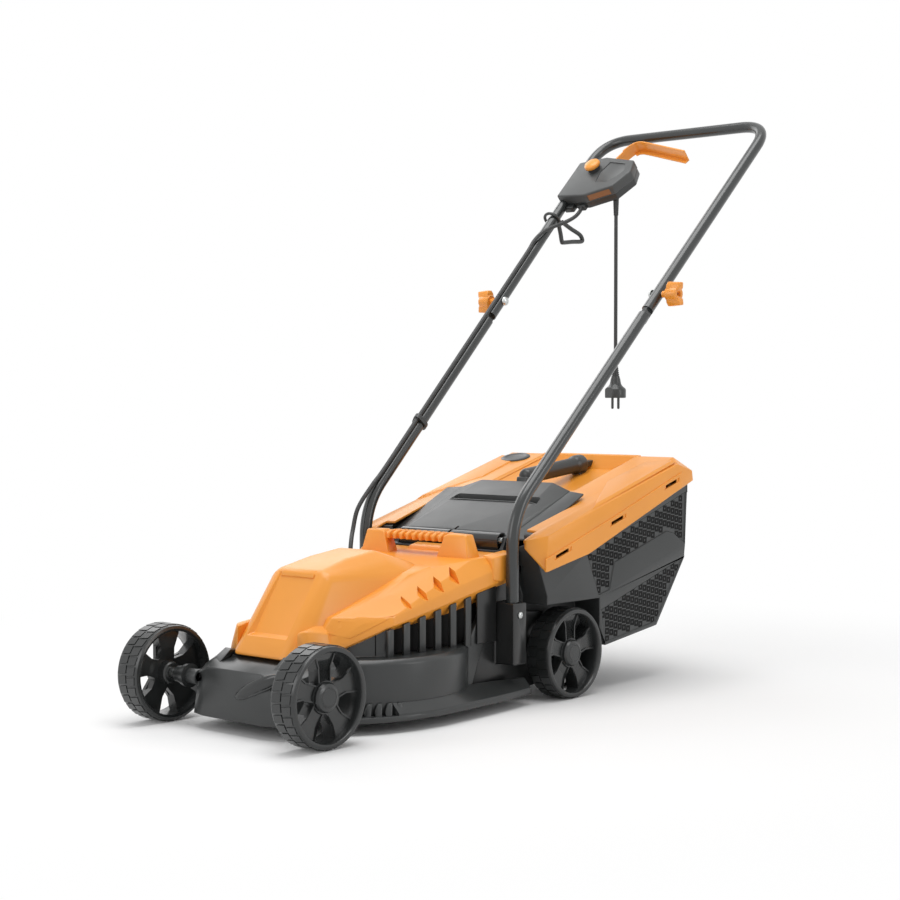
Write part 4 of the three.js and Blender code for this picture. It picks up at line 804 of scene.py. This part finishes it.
def build_motor_lead():
    upper = [on_handle(*place) for place in (
        (-133, 258, -6), (-134, 250, -8), (-136, 238, -8), (-140, 224, -5), (-146, 207, 1), (-153, 188, 9),
        (-160, 168, 14.5))] + [on_lead(146, 1.2), on_lead(120), on_lead(60), on_lead(20), on_lead(0)]
    lower = [on_lead(-0.6), on_lead(-60), on_lead(-180), on_lead(-302), on_lead(-420), on_lead(-458, 2),
             at(-150, 389, 284), at(-147, 374, 250), at(-137, 360, 234), at(-130, 351, 218),
             at(-130, 350, 202)]
    for name, node, corners in (("lead_above_fold", "motor_lead_upper", upper),
                                ("lead_below_fold", "motor_lead_lower", lower)):
        bm = bmesh.new()
        sweep_tube(bm, smooth_points(corners, 8), 3.5, 16)
        as_piece(bm, name, PVC, node, sharp=60)

    # hook: a ring on the tube and a strap bent into a loop
    bm = bmesh.new()
    tube_at = on_handle(-PIVOT_X - 222 * SPLAY, 222)
    wire = [(14.6 + 2.7 * math.cos(step * math.tau / 14), 2.7 * math.sin(step * math.tau / 14))
            for step in range(14)]
    spin_profile(bm, wire, tube_at + Vector((-3.6, 0, 0)) * MM,
                 on_handle(-PIVOT_X - 300 * SPLAY, 300) - tube_at, 48)
    strap = [on_handle(-164.5, along, up) for along, up in (
        (218, -10), (211, -25), (204.5, -37), (206.5, -41.5), (228, -58), (249, -75), (254, -73),
        (253.5, -62),
        (241, -38), (229, -12))]
    sweep_tube(bm, smooth_points(strap, 6), 3.9, 16)
    as_piece(bm, "hook_strap", POLISHED_BLACK, "cable_hook", sharp=60)

    bm = bmesh.new()
    rim = []
    for end in (-306, -298):
        middle_x = -PIVOT_X - end * LOWER_SPLAY
        for step in range(28):
            turn = step * math.tau / 28
            side, up = math.cos(turn), math.sin(turn)
            rim.append(on_handle(middle_x + 13.1 * side, end, 13.1 * up))
            rim.append(on_handle(middle_x + 4 + 6.5 * side, end, LEAD_UP + 6.5 * up))
    hull(bm, rim)
    as_piece(bm, "lead_clip", POLISHED_BLACK, "cable_clip", bevel=0.7, sharp=40)


# ------------------------------------------------------------------ fold pivots
def build_fold_knobs():
    for side, sign in SIDES:
        pivot = on_handle(0, 0)
        bm = bmesh.new()
        spin_profile(bm, [(0, 149.6), (3, 149.9), (5.6, 151), (7.4, 152.7), (8, 154.6), (8, 155.8),
                          (4, 155.8),
                          (4, 201), (0, 201)], pivot, (sign, 0, 0), 36)
        as_piece(bm, f"fold_bolt_{side}", ZINC, f"pivot_bolt_{side}", sharp=40)
        bm = bmesh.new()
        spin_profile(bm, [(4.4, 176.1), (5.6, 176.1), (5.6, 185), (10.5, 185), (12, 186.5), (12, 205),
                          (11, 206.6),
                          (5.4, 206.6), (5, 203.4), (4.4, 203.4)], pivot, (sign, 0, 0), 40)
        turn = Matrix.Rotation(math.radians(48), 4, "X")
        for end in (1, -1):
            wing = [turn @ Vector((sign * x, end * along, up)) for x, along, up in (
                (189, 20, 6), (189, 20, -6), (212.6, 18.4, 5), (212.6, 18.4, -5), (211, 9, 6.4),
                (211, 9, -6.4),
                (187, 3, 10), (187, 3, -10), (204, 2, 9), (204, 2, -9), (187, 14, 8.6), (187, 14, -8.6))]
            rounded_hull(bm, [on_handle(*place) for place in wing], 1.9, 3)
        as_piece(bm, f"wing_nut_{side}", HAND_ORANGE, f"wing_knob_{side}", sharp=32)


# ------------------------------------------------------------------ switch box
CASE = [(-182, 267), (-120, 263), (-66, 283), (-46, 322), (-55, 355), (-125, 373), (-182, 364)]


def on_case(outline, up):
    return [on_handle(x, along, up) for x, along in outline]


def build_switch_box():
    # upper half, with a sunk panel beside the button and a collar under it
    bm = bmesh.new()
    rounded_hull(bm, on_case(CASE, 0) + on_case(CASE, 19), 3.0, 4, 10)
    panel = bmesh.new()
    outline = [(-112, 300), (-86, 296), (-70, 312), (-62, 326), (-69, 346), (-108, 356), (-116, 330)]
    rounded_hull(panel, on_case(outline, 17.2) + on_case(outline, 24), 0.8, 2, 10)
    window = bmesh.new()
    rounded_hull(window, case_window(-1.6, 6), 0.8, 2)
    # a lighter grey than the lower half, partly painted light for its lit top face
    as_piece(bm, "case_top", GREY_NYLON, "switch_case_upper", sharp=30, cuts=(panel, window))
    bm = bmesh.new()
    inset = [(-181, 268), (-120.4, 264), (-66.8, 283.8), (-47.2, 322), (-56, 354.2), (-125, 372),
             (-181, 363.2)]
    rounded_hull(bm, on_case(inset, -13) + on_case(inset, 1.5), 2.4, 3, 10)
    # blocks that clamp the tube and hold the lead where it leaves the box
    for low, high, near, far in ((-170, -150, 255, 272), (-141, -125, 257, 270)):
        rounded_hull(bm, [on_handle(x, along, up) for x in (low, high) for along in (near, far)
                          for up in (-12.4, -1)], 1.8, 3)
    as_piece(bm, "case_bottom", BLACK, "switch_case_lower", sharp=30)
    # the switch gear seen through the window, its orange darkened with painted shade
    bm = bmesh.new()
    rounded_hull(bm, case_window(-2, -0.7, -0.4), 0.2, 2)
    as_piece(bm, "case_window", SHADED_ORANGE, body=body_of("switch_case_upper"), sharp=30)

    button = on_handle(-134, 338)
    bm = bmesh.new()
    spin_profile(bm, [(0, 18), (14.4, 18), (14, 19.4), (12.4, 20), (12.2, 25), (6, 25), (5.6, 22), (0, 22)],
                 button, HANDLE_UP, 40)
    as_piece(bm, "button_collar", POLISHED_BLACK, body=body_of("switch_case_upper"), sharp=40)
    bm = bmesh.new()
    spin_profile(bm, [(0, 35.4), (7, 35.2), (11.4, 34.4), (13.6, 33), (14.8, 30.8), (15, 29.6), (14.9, 27),
                      (14.4, 26.6), (12.5, 26.6), (12.5, 29.4), (4.9, 29.4), (4.9, 7), (0, 7)], button,
                      HANDLE_UP, 48)
    as_piece(bm, "button_cap", HAND_ORANGE, "lock_button", sharp=50)
    build_lever()


def case_window(inner, outer, inset=0.0):
    """A block over the long window in the box's front face, between two depths."""
    start, end = Vector((-120, 263)), Vector((-66, 283))
    along = (end - start).normalized()
    out = Vector((along.y, -along.x))
    corners = []
    for reach in (6 + inset, 50 - inset):
        for depth in (inner, outer):
            place = start + along * reach + out * depth
            corners += [on_handle(place.x, place.y, up) for up in (2.4 + inset, 14.6 - inset)]
    return corners


def build_lever():
    line = smooth_points([Vector((x, along, 0)) for x, along in (
        (-118, 348), (-116, 372), (-106, 404), (-94, 420), (-80, 423), (-62, 418), (-12, 399), (38, 380))],
        6)

    def beside(points, reach):
        """The line moved towards the inside of its bend."""
        moved = []
        for index, point in enumerate(points):
            run = points[min(index + 1, len(points) - 1)] - points[max(index - 1, 0)]
            run.normalize()
            moved.append(point + Vector((run.y, -run.x, 0)) * reach)
        return moved

    def strip(bm, points, inner, outer, low, high):
        outline = beside(points, inner) + beside(points, outer)[::-1]
        prism(bm, [on_handle(point.x, point.y, low) for point in outline], HANDLE_UP * (high - low) * MM)

    bm = bmesh.new()
    strip(bm, line[:14], 0, 3, -9, 9)
    strip(bm, line[11:], 0, 2.8, -12, 11)
    strip(bm, line[16:], 1, 10.5, -12, -9.4)
    spin_profile(bm, [(3.8, -9), (8, -9), (8, 9), (3.8, 9)], on_handle(-118, 348), HANDLE_UP, 32)
    as_piece(bm, "lever_blade", HAND_ORANGE, "switch_lever", bevel=0.7, sharp=40)


# ------------------------------------------------------------------ discharge flap
def build_flap():
    bm = bmesh.new()
    # wings of the plate, then its raised middle with sloping sides
    rounded_hull(bm, [at(sign * x, y, z - drop) for sign in (1, -1) for drop in (0, 3) for x, y, z in (
        (143, 460, 245.5), (142.4, 594, 309), (106, 451, 247.5), (112, 600, 311.5))], 1.2, 3)
    rounded_hull(bm, [at(sign * x, y, z - drop) for sign in (1, -1) for drop, x, y, z in (
        (0, 99, 451, 254.8), (0, 74, 604, 324), (0, 108, 449, 247), (0, 112, 600, 311.8),
        (4, 108, 449, 247),
        (4, 112, 600, 311.8))], 1.6, 3, 8)
    slot = bmesh.new()
    rounded_hull(slot, [at(sign * x, y, z) for sign in (1, -1) for z in (270, 340) for x, y in (
        (91, 540), (86, 557))], 2, 3)
    notch = bmesh.new()
    block(notch, (-2.2, 440 + AXLE_Y, 250), (2.2, 460 + AXLE_Y, 262))
    as_piece(bm, "flap_plate", POLISHED_BLACK, "discharge_flap", sharp=30, cuts=(slot, notch))
    # apron rolled over the hinge and its spring
    bm = bmesh.new()
    hinge = Vector((0, HINGE_Y, HINGE_Z))

    def round_hinge(radius, degrees):
        turn = math.radians(degrees)
        return [(hinge.y + radius * math.cos(turn), hinge.z + radius * math.sin(turn))]

    rim = [(454, 253.6)]
    for degrees in range(84, 190, 8):
        rim += round_hinge(12.4, degrees)
    rim += [(433.4, 236), (435.6, 229), (437.2, 229.6), (436, 236)]
    for degrees in range(184, 80, -8):
        rim += round_hinge(9.8, degrees)
    rim += [(454, 250.6)]
    prism(bm, [at(-103, y, z) for y, z in rim], Vector((203, 0, 0)) * MM)
    for x in (-103, 76):
        spin_profile(bm, [(2.9, 0), (9.9, 0), (9.9, 10), (2.9, 10)], at(x, hinge.y, hinge.z), (1, 0, 0), 32)
    gap = bmesh.new()
    block(gap, (-2.2, 436 + AXLE_Y, 249), (2.2, 460 + AXLE_Y, 262))
    as_piece(bm, "flap_apron", GLOSSY_BLACK, body="flap", bevel=0.5, sharp=40, cuts=(gap,))
    # rounded lip on the front edge of the finger slot
    bm = bmesh.new()
    lip = [at(x, 538.6, z) for x, z in ((-96, 288.4), (-86, 293.6), (-82, 294.3), (82, 294.3), (86, 293.6),
                                        (96, 288.4))]
    sweep_tube(bm, lip, 1.5, 12)
    as_piece(bm, "flap_slot_lip", GLOSSY_BLACK, body="flap", sharp=60)


# ------------------------------------------------------------------ grass box
LID_CROWN_Z, LID_SLOPE = 262, 0.2912
LID_SLOTS = ((482, 220), (622, 262), (770, 313))


def lid_slot(y, z, reach):
    """A long slot through the lid's rim on both sides."""
    slot = bmesh.new()
    hull(slot, [at(sign * reach, y + back, z + up) for sign in (1, -1) for back, up in (
        (-21, -3), (21, 9.6), (21, 15.4), (-21, 2.8))])
    return slot


def on_lid(x, y, up):
    """A place above the sloping crown of the lid."""
    return at(x, y, LID_CROWN_Z + LID_SLOPE * (y - 460) + up)


def build_grass_box():
    body = "grass_box"
    trough = bmesh.new()
    hull(trough, both([
        (100, 628, 0.2), (98, 803, 0.2), (100, 628, 30), (98, 803, 30), (52, 634, -22.6), (46, 792, -22.6)],
        on_lid))
    as_piece(cad_shell("box_lid"), "lid_moulding", ORANGE, "box_lid", bevel=1.2, segments=3, sharp=20,
             recalc=False, cuts=[trough] + [lid_slot(y, z, 186) for y, z in LID_SLOTS])
    # trough for the hand under the grip
    bm = bmesh.new()
    side = [(102, 0), (52, -21), (-52, -21), (-102, 0), (-102, -3), (-52, -24), (52, -24), (102, -3)]
    prism(bm, [on_lid(x, 608, up) for x, up in side], on_lid(0, 806, 0) - on_lid(0, 608, 0))
    hull(bm, both([
        (100, 802, -0.6), (100, 808, -0.6), (50, 790, -22), (50, 808, -22)], on_lid))
    as_piece(bm, "lid_trough", ORANGE, body=body, bevel=1.0, segments=3, sharp=30)
    # long raised facets beside it
    bm = bmesh.new()
    for sign in (1, -1):
        rounded_hull(bm, one_side(sign, [
            (128, 668, -4), (134, 772, -4), (184, 788, -4), (172, 735, -4), (184, 560, -4),
            (131, 674, 1.6), (136, 768, 1.8), (180, 784, 0.4), (166, 736, 1.8), (180, 574, 0.3)], on_lid),
            0.6, 2, 8)
    as_piece(bm, "lid_facets", ORANGE, body=body, sharp=25)
    # proud band along the rim, broken by the slots
    bm = bmesh.new()
    for sign in (1, -1):
        band = [(441, 200.4), (547, 220.6), (800, 311.4), (800, 337), (770, 327.4), (622, 277.4),
                (520, 245),
                (482, 233), (441, 220)]
        prism(bm, [at(sign * 186, y, z) for y, z in band], Vector((sign * 2.6, 0, 0)) * MM)
    as_piece(bm, "lid_band", ORANGE, body=body, bevel=1.0, segments=3, sharp=30,
             cuts=[lid_slot(y, z, 200) for y, z in LID_SLOTS])
    build_tubs(body)
    build_grip()


UPPER_MESH = [(574, 217), (846, 302), (842, 218), (809, 236), (790, 240), (646, 199), (633, 157),
              (604, 151)]
LOWER_MESH = [(612, 127), (838, 193), (760, 95), (620, 75)]


def inside(outline, y, z, margin):
    """True when a place lies within a convex or notched outline, clear of its edges."""
    crossings = 0
    for (y0, z0), (y1, z1) in zip(outline, outline[1:] + outline[:1]):
        edge, reach = Vector((y1 - y0, z1 - z0)), Vector((y - y0, z - z0))
        t = max(0.0, min(1.0, reach.dot(edge) / edge.length_squared))
        if (reach - edge * t).length < margin:
            return False
        if (z0 > z) != (z1 > z) and y < y0 + (z - z0) * (y1 - y0) / (z1 - z0):
            crossings += 1
    return crossings % 2 == 1


def build_tubs(body):
    pitch = bpy.context.scene.mower_sizes.mesh_pitch / MM
    for side, sign in SIDES:
        panels = []
        for outline in (UPPER_MESH, LOWER_MESH):
            panel = bmesh.new()
            prism(panel, [at(sign * 163, y, z) for y, z in outline], Vector((sign * 6, 0, 0)) * MM)
            panels.append(panel)
        as_piece(cad_shell(f"box_tub_{side}"), f"tub_wall_{side}", CHARCOAL, f"box_tub_{side}", bevel=1.6,
                 segments=3, sharp=25, recalc=False, cuts=panels)
        # ground of the mesh
        bm = bmesh.new()
        for outline in (UPPER_MESH, LOWER_MESH):
            prism(bm, [at(sign * 162.7, y, z) for y, z in outline], Vector((sign * 0.5, 0, 0)) * MM)
        as_piece(bm, f"mesh_ground_{side}", CHARCOAL, body=body, sharp=30)
        # staggered square cells, their grooves in painted shadow
        bm = bmesh.new()
        for outline, slope in ((UPPER_MESH, 0.32), (LOWER_MESH, 0.29)):
            for column in range(60):
                for row in range(60):
                    y = 560 + column * pitch * 0.96
                    z = (row - 22 + (column % 2) / 2) * pitch * 1.02 + 60 + (y - 560) * slope
                    if inside(outline, y, z, 3.2):
                        mesh_cell(bm, sign, y, z, pitch)
        as_piece(bm, f"mesh_cells_{side}", SHADOW_PAINT_BLACK, body=body, sharp=30)


def mesh_cell(bm, sign, y, z, pitch):
    """The dark square groove round the stud of one cell; its near-black is painted shadow for the open
    hole.
    """
    inner, outer = pitch * 0.2, pitch * 0.6
    spin_profile(bm, [(inner, 163), (outer, 163), (outer, 163.5), (inner, 163.5)],
                 at(0, y, z), (sign, 0, 0), 4, Vector((0, 1, 0.9)).normalized())


def build_grip():
    start, end = at(0, 622, 330), at(0, 770, 346)
    along = end - start
    bm = bmesh.new()
    spin_profile(bm, [(0, -2.4), (7, -1.8), (11, 0.6), (12.8, 4.4), (13, 8), (13, 129), (14, 132),
                      (15.6, 134.4),
                      (16, 137), (16, 151), (15.4, 153.6), (13, 156), (8, 157.6), (0, 158)], start, along,
                      48)
    for back, half, low, high, top in ((612, 11, 286, 316, 330), (760, 9, 322, 344, 342)):
        rounded_hull(bm, [at(x, y, z) for x in (-half, half) for y, z in (
            (back, high - 8), (back + 20, high), (back, low), (back + 20, low), (back + 4, top),
            (back + 16, top))],
            2, 3)
    rounded_hull(bm, [at(x, y, z) for x in (-9, 9) for y, z in (
        (766, 336), (824, 350), (824, 354.6), (790, 352), (770, 350))], 2, 3, 10)
    as_piece(bm, "grip_bar", BLACK, "box_grip", sharp=35)

    # oval fill indicator with a sunk middle, tilted with the lid
    bm = bmesh.new()
    spin_profile(bm, [(0, 2.0), (17, 2.0), (18.4, 2.4), (20, 3.2), (25, 3), (27.4, 1.9), (28, 0.4),
                      (0, 0.4)],
                 Vector((0, 0, 0)), (0, 0, 1), 56, Vector((1, 0, 0)))
    bmesh.ops.scale(bm, vec=(1, 22 / 28, 1), verts=bm.verts)
    tilt = Matrix.Translation(at(-140, 772, 352.86)) @ Matrix.Rotation(math.atan(0.2912), 4, "X")
    bmesh.ops.transform(bm, matrix=tilt, verts=bm.verts)
    as_piece(bm, "indicator_plate", BLACK, "fill_indicator", sharp=35)


# ------------------------------------------------------------------ fixings and inner works
def screw_head(bm, place, axis, radius, height):
    """A domed head with a narrow ring sunk into its top."""
    spin_profile(bm, [(0, height), (radius * 0.3, height), (radius * 0.34, height * 0.72),
                      (radius * 0.4, height),
                      (radius * 0.75, height * 0.86), (radius, height * 0.4), (radius, 0), (0, 0)],
                 place, axis, 28)


def build_fixings():
    for side, sign in SIDES:
        bm = bmesh.new()
        face = at(sign * 166.2, 407.4, 138)
        screw_head(bm, face, (sign, 0, 0), 5, 3)
        spin_profile(bm, [(0, -11.4), (2.3, -11), (2.3, 0.5), (0, 0.5)], face, (sign, 0, 0), 16)
        as_piece(bm, f"socket_screw_head_{side}", ZINC, f"socket_screw_{side}", sharp=40)
    # closing spring: wire wound round the pin
    bm = bmesh.new()
    coils, steps, radius = 7, 20, 4.4
    wire = []
    for step in range(coils * steps + 1):
        turn = step * math.tau / steps
        wire.append(at(87.6 + 15 * step / (coils * steps), HINGE_Y + radius * math.cos(turn),
                       HINGE_Z + radius * math.sin(turn)))
    sweep_tube(bm, wire, 0.8, 8)
    as_piece(bm, "hinge_spring_wire", ZINC, "flap_spring", sharp=60)
    # edges of the blade and its carrier are eased; the rest keeps its own shape
    for node, finish, edge in (
            ("cutting_blade", BLADE_STEEL, 0.4),
            ("blade_carrier", BLACK, 0.8),
            ("blade_bolt", ZINC, 0.5),
            ("start_capacitor", CAST, 0.8),
            ("motor_bell_lower", CAST, 1.0),
            ("motor_bell_upper", CAST, 1.0),
            *((f"stub_axle_{end}_{side}", ZINC, 0.5)
              for end in ("front", "rear") for side, sign in SIDES)):
        soften(node, f"{node}_eased", finish, edge)
    finishes = {"orange_plastic": ORANGE, "black_plastic": BLACK,
                "dark_grey_plastic": CHARCOAL, "zinc_plated_steel": ZINC,
                "painted_steel_tube": COATED_STEEL, "bare_steel": LAMINATED,
                "cast_aluminium": CAST, "black_rubber": PVC}
    for part in frame["record"]["subparts"]:
        shown = frame["nodes"][part["node"]]
        if not shown.hide_render:
            shown.data.materials.clear()
            shown.data.materials.append(bpy.data.materials[finishes[part["material_slot"]]])


# ------------------------------------------------------------------ stage
def seen_rays(tree):
    """One for rays that show the white surroundings: to the eye, in gloss and through glass."""
    rays = add_node(tree, "ShaderNodeLightPath")
    gloss = add_node(tree, "ShaderNodeMath", {"operation": "MAXIMUM"}, links={
        0: rays.outputs["Is Camera Ray"], 1: rays.outputs["Is Glossy Ray"]})
    return add_node(tree, "ShaderNodeMath", {"operation": "MAXIMUM"}, links={
        0: gloss.outputs["Value"], 1: rays.outputs["Is Transmission Ray"]}).outputs["Value"]


def build_stage():
    """A pale floor that fades to white, soft lamps and the camera."""
    scene = bpy.context.scene
    bm = bmesh.new()
    bmesh.ops.create_circle(bm, cap_ends=True, radius=14.0, segments=96)
    floor = raw_object(bm, "floor")
    # Paper sweep: near white and matte, with no grain that would show at this distance.
    tree, shader, place = new_finish("Matte studio paper",
                                     {"Base Color": linear("FBFBFB"), "Roughness": 0.9})
    distance = add_node(tree, "ShaderNodeVectorMath", {"operation": "LENGTH"}, links={"Vector": place})
    fade = add_node(tree, "ShaderNodeMapRange", {"interpolation_type": "SMOOTHSTEP"},
                    {"From Min": 0.4, "From Max": 1.3}, {"Value": distance.outputs["Value"]})
    amount = add_node(tree, "ShaderNodeMath", {"operation": "MULTIPLY"}, links={
        0: fade.outputs["Result"], 1: seen_rays(tree)})
    white = add_node(tree, "ShaderNodeEmission", values={"Strength": 1.0, "Color": (1.0, 1.0, 1.0, 1.0)})
    mix = add_node(tree, "ShaderNodeMixShader", links={
        0: amount.outputs["Value"], 1: shader.outputs["BSDF"], 2: white.outputs["Emission"]})
    output = next(node for node in tree.nodes if node.bl_idname == "ShaderNodeOutputMaterial")
    tree.links.new(mix.outputs["Shader"], output.inputs["Surface"])
    floor.data.materials.append(bpy.data.materials["Matte studio paper"])

    world = bpy.data.worlds.new("Studio")
    scene.world = world
    world.use_nodes = True
    tree = world.node_tree
    tree.nodes.clear()
    strength = add_node(tree, "ShaderNodeMapRange", values={"To Min": 0.42, "To Max": 1.0},
                        links={"Value": seen_rays(tree)})
    sky = add_node(tree, "ShaderNodeBackground", values={"Color": (1.0, 1.0, 1.0, 1.0)},
                   links={"Strength": strength.outputs["Result"]})
    add_node(tree, "ShaderNodeOutputWorld", links={"Surface": sky.outputs["Background"]})

    def lamp(name, place, target, power, width, height):
        data = bpy.data.lights.new(name, "AREA")
        data.shape = "RECTANGLE"
        data.size, data.size_y = width, height
        data.energy = power
        light = bpy.data.objects.new(name, data)
        light.location = place
        light.rotation_euler = (Vector(place) - Vector(target)).to_track_quat("Z", "Y").to_euler()
        light.visible_camera = False
        scene.collection.objects.link(light)

    lamp("overhead_softbox", (0.1, -0.2, 2.7), (0, 0, 0.3), 40, 1.9, 1.9)
    lamp("left_softbox", (-0.6, -2.6, 1.3), (0, 0, 0.3), 12, 1.4, 1.4)
    # behind the left shoulder, to draw the edges of the dark parts
    lamp("edge_softbox", (-1.6, 0.5, 1.5), (0, -0.4, 0.25), 9, 1.6, 1.2)
    lamp("right_strip", (2.6, 0.5, 1.1), (0, 0.1, 0.4), 10, 0.5, 1.6)

    data = bpy.data.cameras.new("camera")
    data.sensor_width = 36.0
    data.lens = 70.986
    data.clip_end = 60.0
    camera = bpy.data.objects.new("camera", data)
    camera.location = at(1813.534, -1626.411, 470.83)
    azimuth, rise = math.radians(41.2819), math.radians(1.933)
    back = Vector((math.sin(azimuth) * math.cos(rise), -math.cos(azimuth) * math.cos(rise), math.sin(rise)))
    camera.rotation_euler = back.to_track_quat("Z", "Y").to_euler()
    scene.collection.objects.link(camera)
    scene.camera = camera
    scene.view_settings.view_transform = "Standard"


# ------------------------------------------------------------------ the add-on
class MowerSizes(bpy.types.PropertyGroup):
    """Sizes that a user would change."""
    wheel_tread: bpy.props.FloatProperty(
        name="Wheel tread radius", description="Radius over the tread blocks",
        default=0.0694, min=0.06, max=0.07, unit="LENGTH")
    hood_edge: bpy.props.FloatProperty(
        name="Hood edge radius", description="Rounding of the hood's main edges",
        default=0.0065, min=0.001, max=0.01, unit="LENGTH")
    mesh_pitch: bpy.props.FloatProperty(
        name="Mesh pitch", description="Spacing of the air holes in the grass box",
        default=0.0118, min=0.006, max=0.02, unit="LENGTH")


class MowerColours(bpy.types.PropertyGroup):
    """Colours that a user would change."""
    orange: bpy.props.FloatVectorProperty(
        name="Orange", description="Colour of the hood, the lid and the hand parts",
        default=linear("F09C35"), size=4, min=0.0, max=1.0, subtype="COLOR")
    black: bpy.props.FloatVectorProperty(
        name="Black", description="Colour of the deck and the other dark mouldings",
        default=linear("2B2D2D"), size=4, min=0.0, max=1.0, subtype="COLOR")
    tube: bpy.props.FloatVectorProperty(
        name="Tube", description="Colour of the powder coat on the handle tubes",
        default=linear("282B2B"), size=4, min=0.0, max=1.0, subtype="COLOR")


class Step:
    """Runs the builder that each operator names."""
    def execute(self, context):
        self.build()
        return {"FINISHED"}


class MOWER_OT_finishes(Step, bpy.types.Operator):
    """Make the plastics and metals of the mower"""
    bl_idname = "mower.finishes"
    bl_label = "Finishes"
    build = staticmethod(make_finishes)


class MOWER_OT_stage(Step, bpy.types.Operator):
    """Add the floor, the lamps and the camera"""
    bl_idname = "mower.stage"
    bl_label = "Stage"
    build = staticmethod(build_stage)


class MOWER_OT_mains_lead(Step, bpy.types.Operator):
    """Add the mains cord, its gland and its plug"""
    bl_idname = "mower.mains_lead"
    bl_label = "Mains Lead"
    build = staticmethod(build_mains_lead)


class MOWER_OT_motor_lead(Step, bpy.types.Operator):
    """Add the motor lead with its hook and clip"""
    bl_idname = "mower.motor_lead"
    bl_label = "Motor Lead"
    build = staticmethod(build_motor_lead)


class MOWER_OT_wheels(Step, bpy.types.Operator):
    """Add the four wheels and their caps"""
    bl_idname = "mower.wheels"
    bl_label = "Wheels"
    build = staticmethod(build_wheels)


class MOWER_OT_deck(Step, bpy.types.Operator):
    """Add the deck, its fairings and its grass combs"""
    bl_idname = "mower.deck"
    bl_label = "Deck"
    build = staticmethod(build_deck)


class MOWER_OT_hood(Step, bpy.types.Operator):
    """Add the motor hood"""
    bl_idname = "mower.hood"
    bl_label = "Hood"
    build = staticmethod(build_hood)


class MOWER_OT_vents(Step, bpy.types.Operator):
    """Add the cooling louvres"""
    bl_idname = "mower.vents"
    bl_label = "Vents"
    build = staticmethod(build_vents)


class MOWER_OT_carry_handle(Step, bpy.types.Operator):
    """Add the ribbed carry handle"""
    bl_idname = "mower.carry_handle"
    bl_label = "Carry Handle"
    build = staticmethod(build_carry_handle)


class MOWER_OT_tubes(Step, bpy.types.Operator):
    """Add the handle tubes"""
    bl_idname = "mower.tubes"
    bl_label = "Tubes"
    build = staticmethod(build_tubes)


class MOWER_OT_fold_knobs(Step, bpy.types.Operator):
    """Add the fold pivots and their wing knobs"""
    bl_idname = "mower.fold_knobs"
    bl_label = "Fold Knobs"
    build = staticmethod(build_fold_knobs)


class MOWER_OT_switch_box(Step, bpy.types.Operator):
    """Add the switch box, its button and its lever"""
    bl_idname = "mower.switch_box"
    bl_label = "Switch Box"
    build = staticmethod(build_switch_box)


class MOWER_OT_flap(Step, bpy.types.Operator):
    """Add the discharge flap"""
    bl_idname = "mower.flap"
    bl_label = "Flap"
    build = staticmethod(build_flap)


class MOWER_OT_grass_box(Step, bpy.types.Operator):
    """Add the grass box, its grip and its indicator"""
    bl_idname = "mower.grass_box"
    bl_label = "Grass Box"
    build = staticmethod(build_grass_box)


class MOWER_OT_fixings(Step, bpy.types.Operator):
    """Dress the motor, the blade and the small fixings"""
    bl_idname = "mower.fixings"
    bl_label = "Fixings"
    build = staticmethod(build_fixings)


class MOWER_PT_pieces(bpy.types.Panel):
    """Lists the mower's pieces, sizes and colours"""
    bl_idname = "MOWER_PT_pieces"
    bl_label = "Push Lawn Mower"
    bl_space_type = "VIEW_3D"
    bl_region_type = "UI"
    bl_category = "Mower"

    def draw(self, context):
        for group in (context.scene.mower_sizes, context.scene.mower_colours):
            for name in group.bl_rna.properties.keys():
                if name not in ("rna_type", "name"):
                    self.layout.prop(group, name)
        for kind in OPERATORS:
            self.layout.operator(kind.bl_idname)


OPERATORS = (
    MOWER_OT_finishes, MOWER_OT_stage, MOWER_OT_mains_lead, MOWER_OT_motor_lead, MOWER_OT_wheels,
    MOWER_OT_deck, MOWER_OT_hood, MOWER_OT_vents, MOWER_OT_carry_handle, MOWER_OT_tubes,
    MOWER_OT_fold_knobs, MOWER_OT_switch_box, MOWER_OT_flap, MOWER_OT_grass_box, MOWER_OT_fixings,
)
CLASSES = (MowerSizes, MowerColours, *OPERATORS, MOWER_PT_pieces)


def register():
    for kind in CLASSES:
        bpy.utils.register_class(kind)
    bpy.types.Scene.mower_sizes = bpy.props.PointerProperty(type=MowerSizes)
    bpy.types.Scene.mower_colours = bpy.props.PointerProperty(type=MowerColours)


def unregister():
    del bpy.types.Scene.mower_colours
    del bpy.types.Scene.mower_sizes
    for kind in reversed(CLASSES):
        bpy.utils.unregister_class(kind)


def main():
    register()
    for kind in OPERATORS:
        group, name = kind.bl_idname.split(".")
        getattr(getattr(bpy.ops, group), name)()


if __name__ == "__main__":
    main()
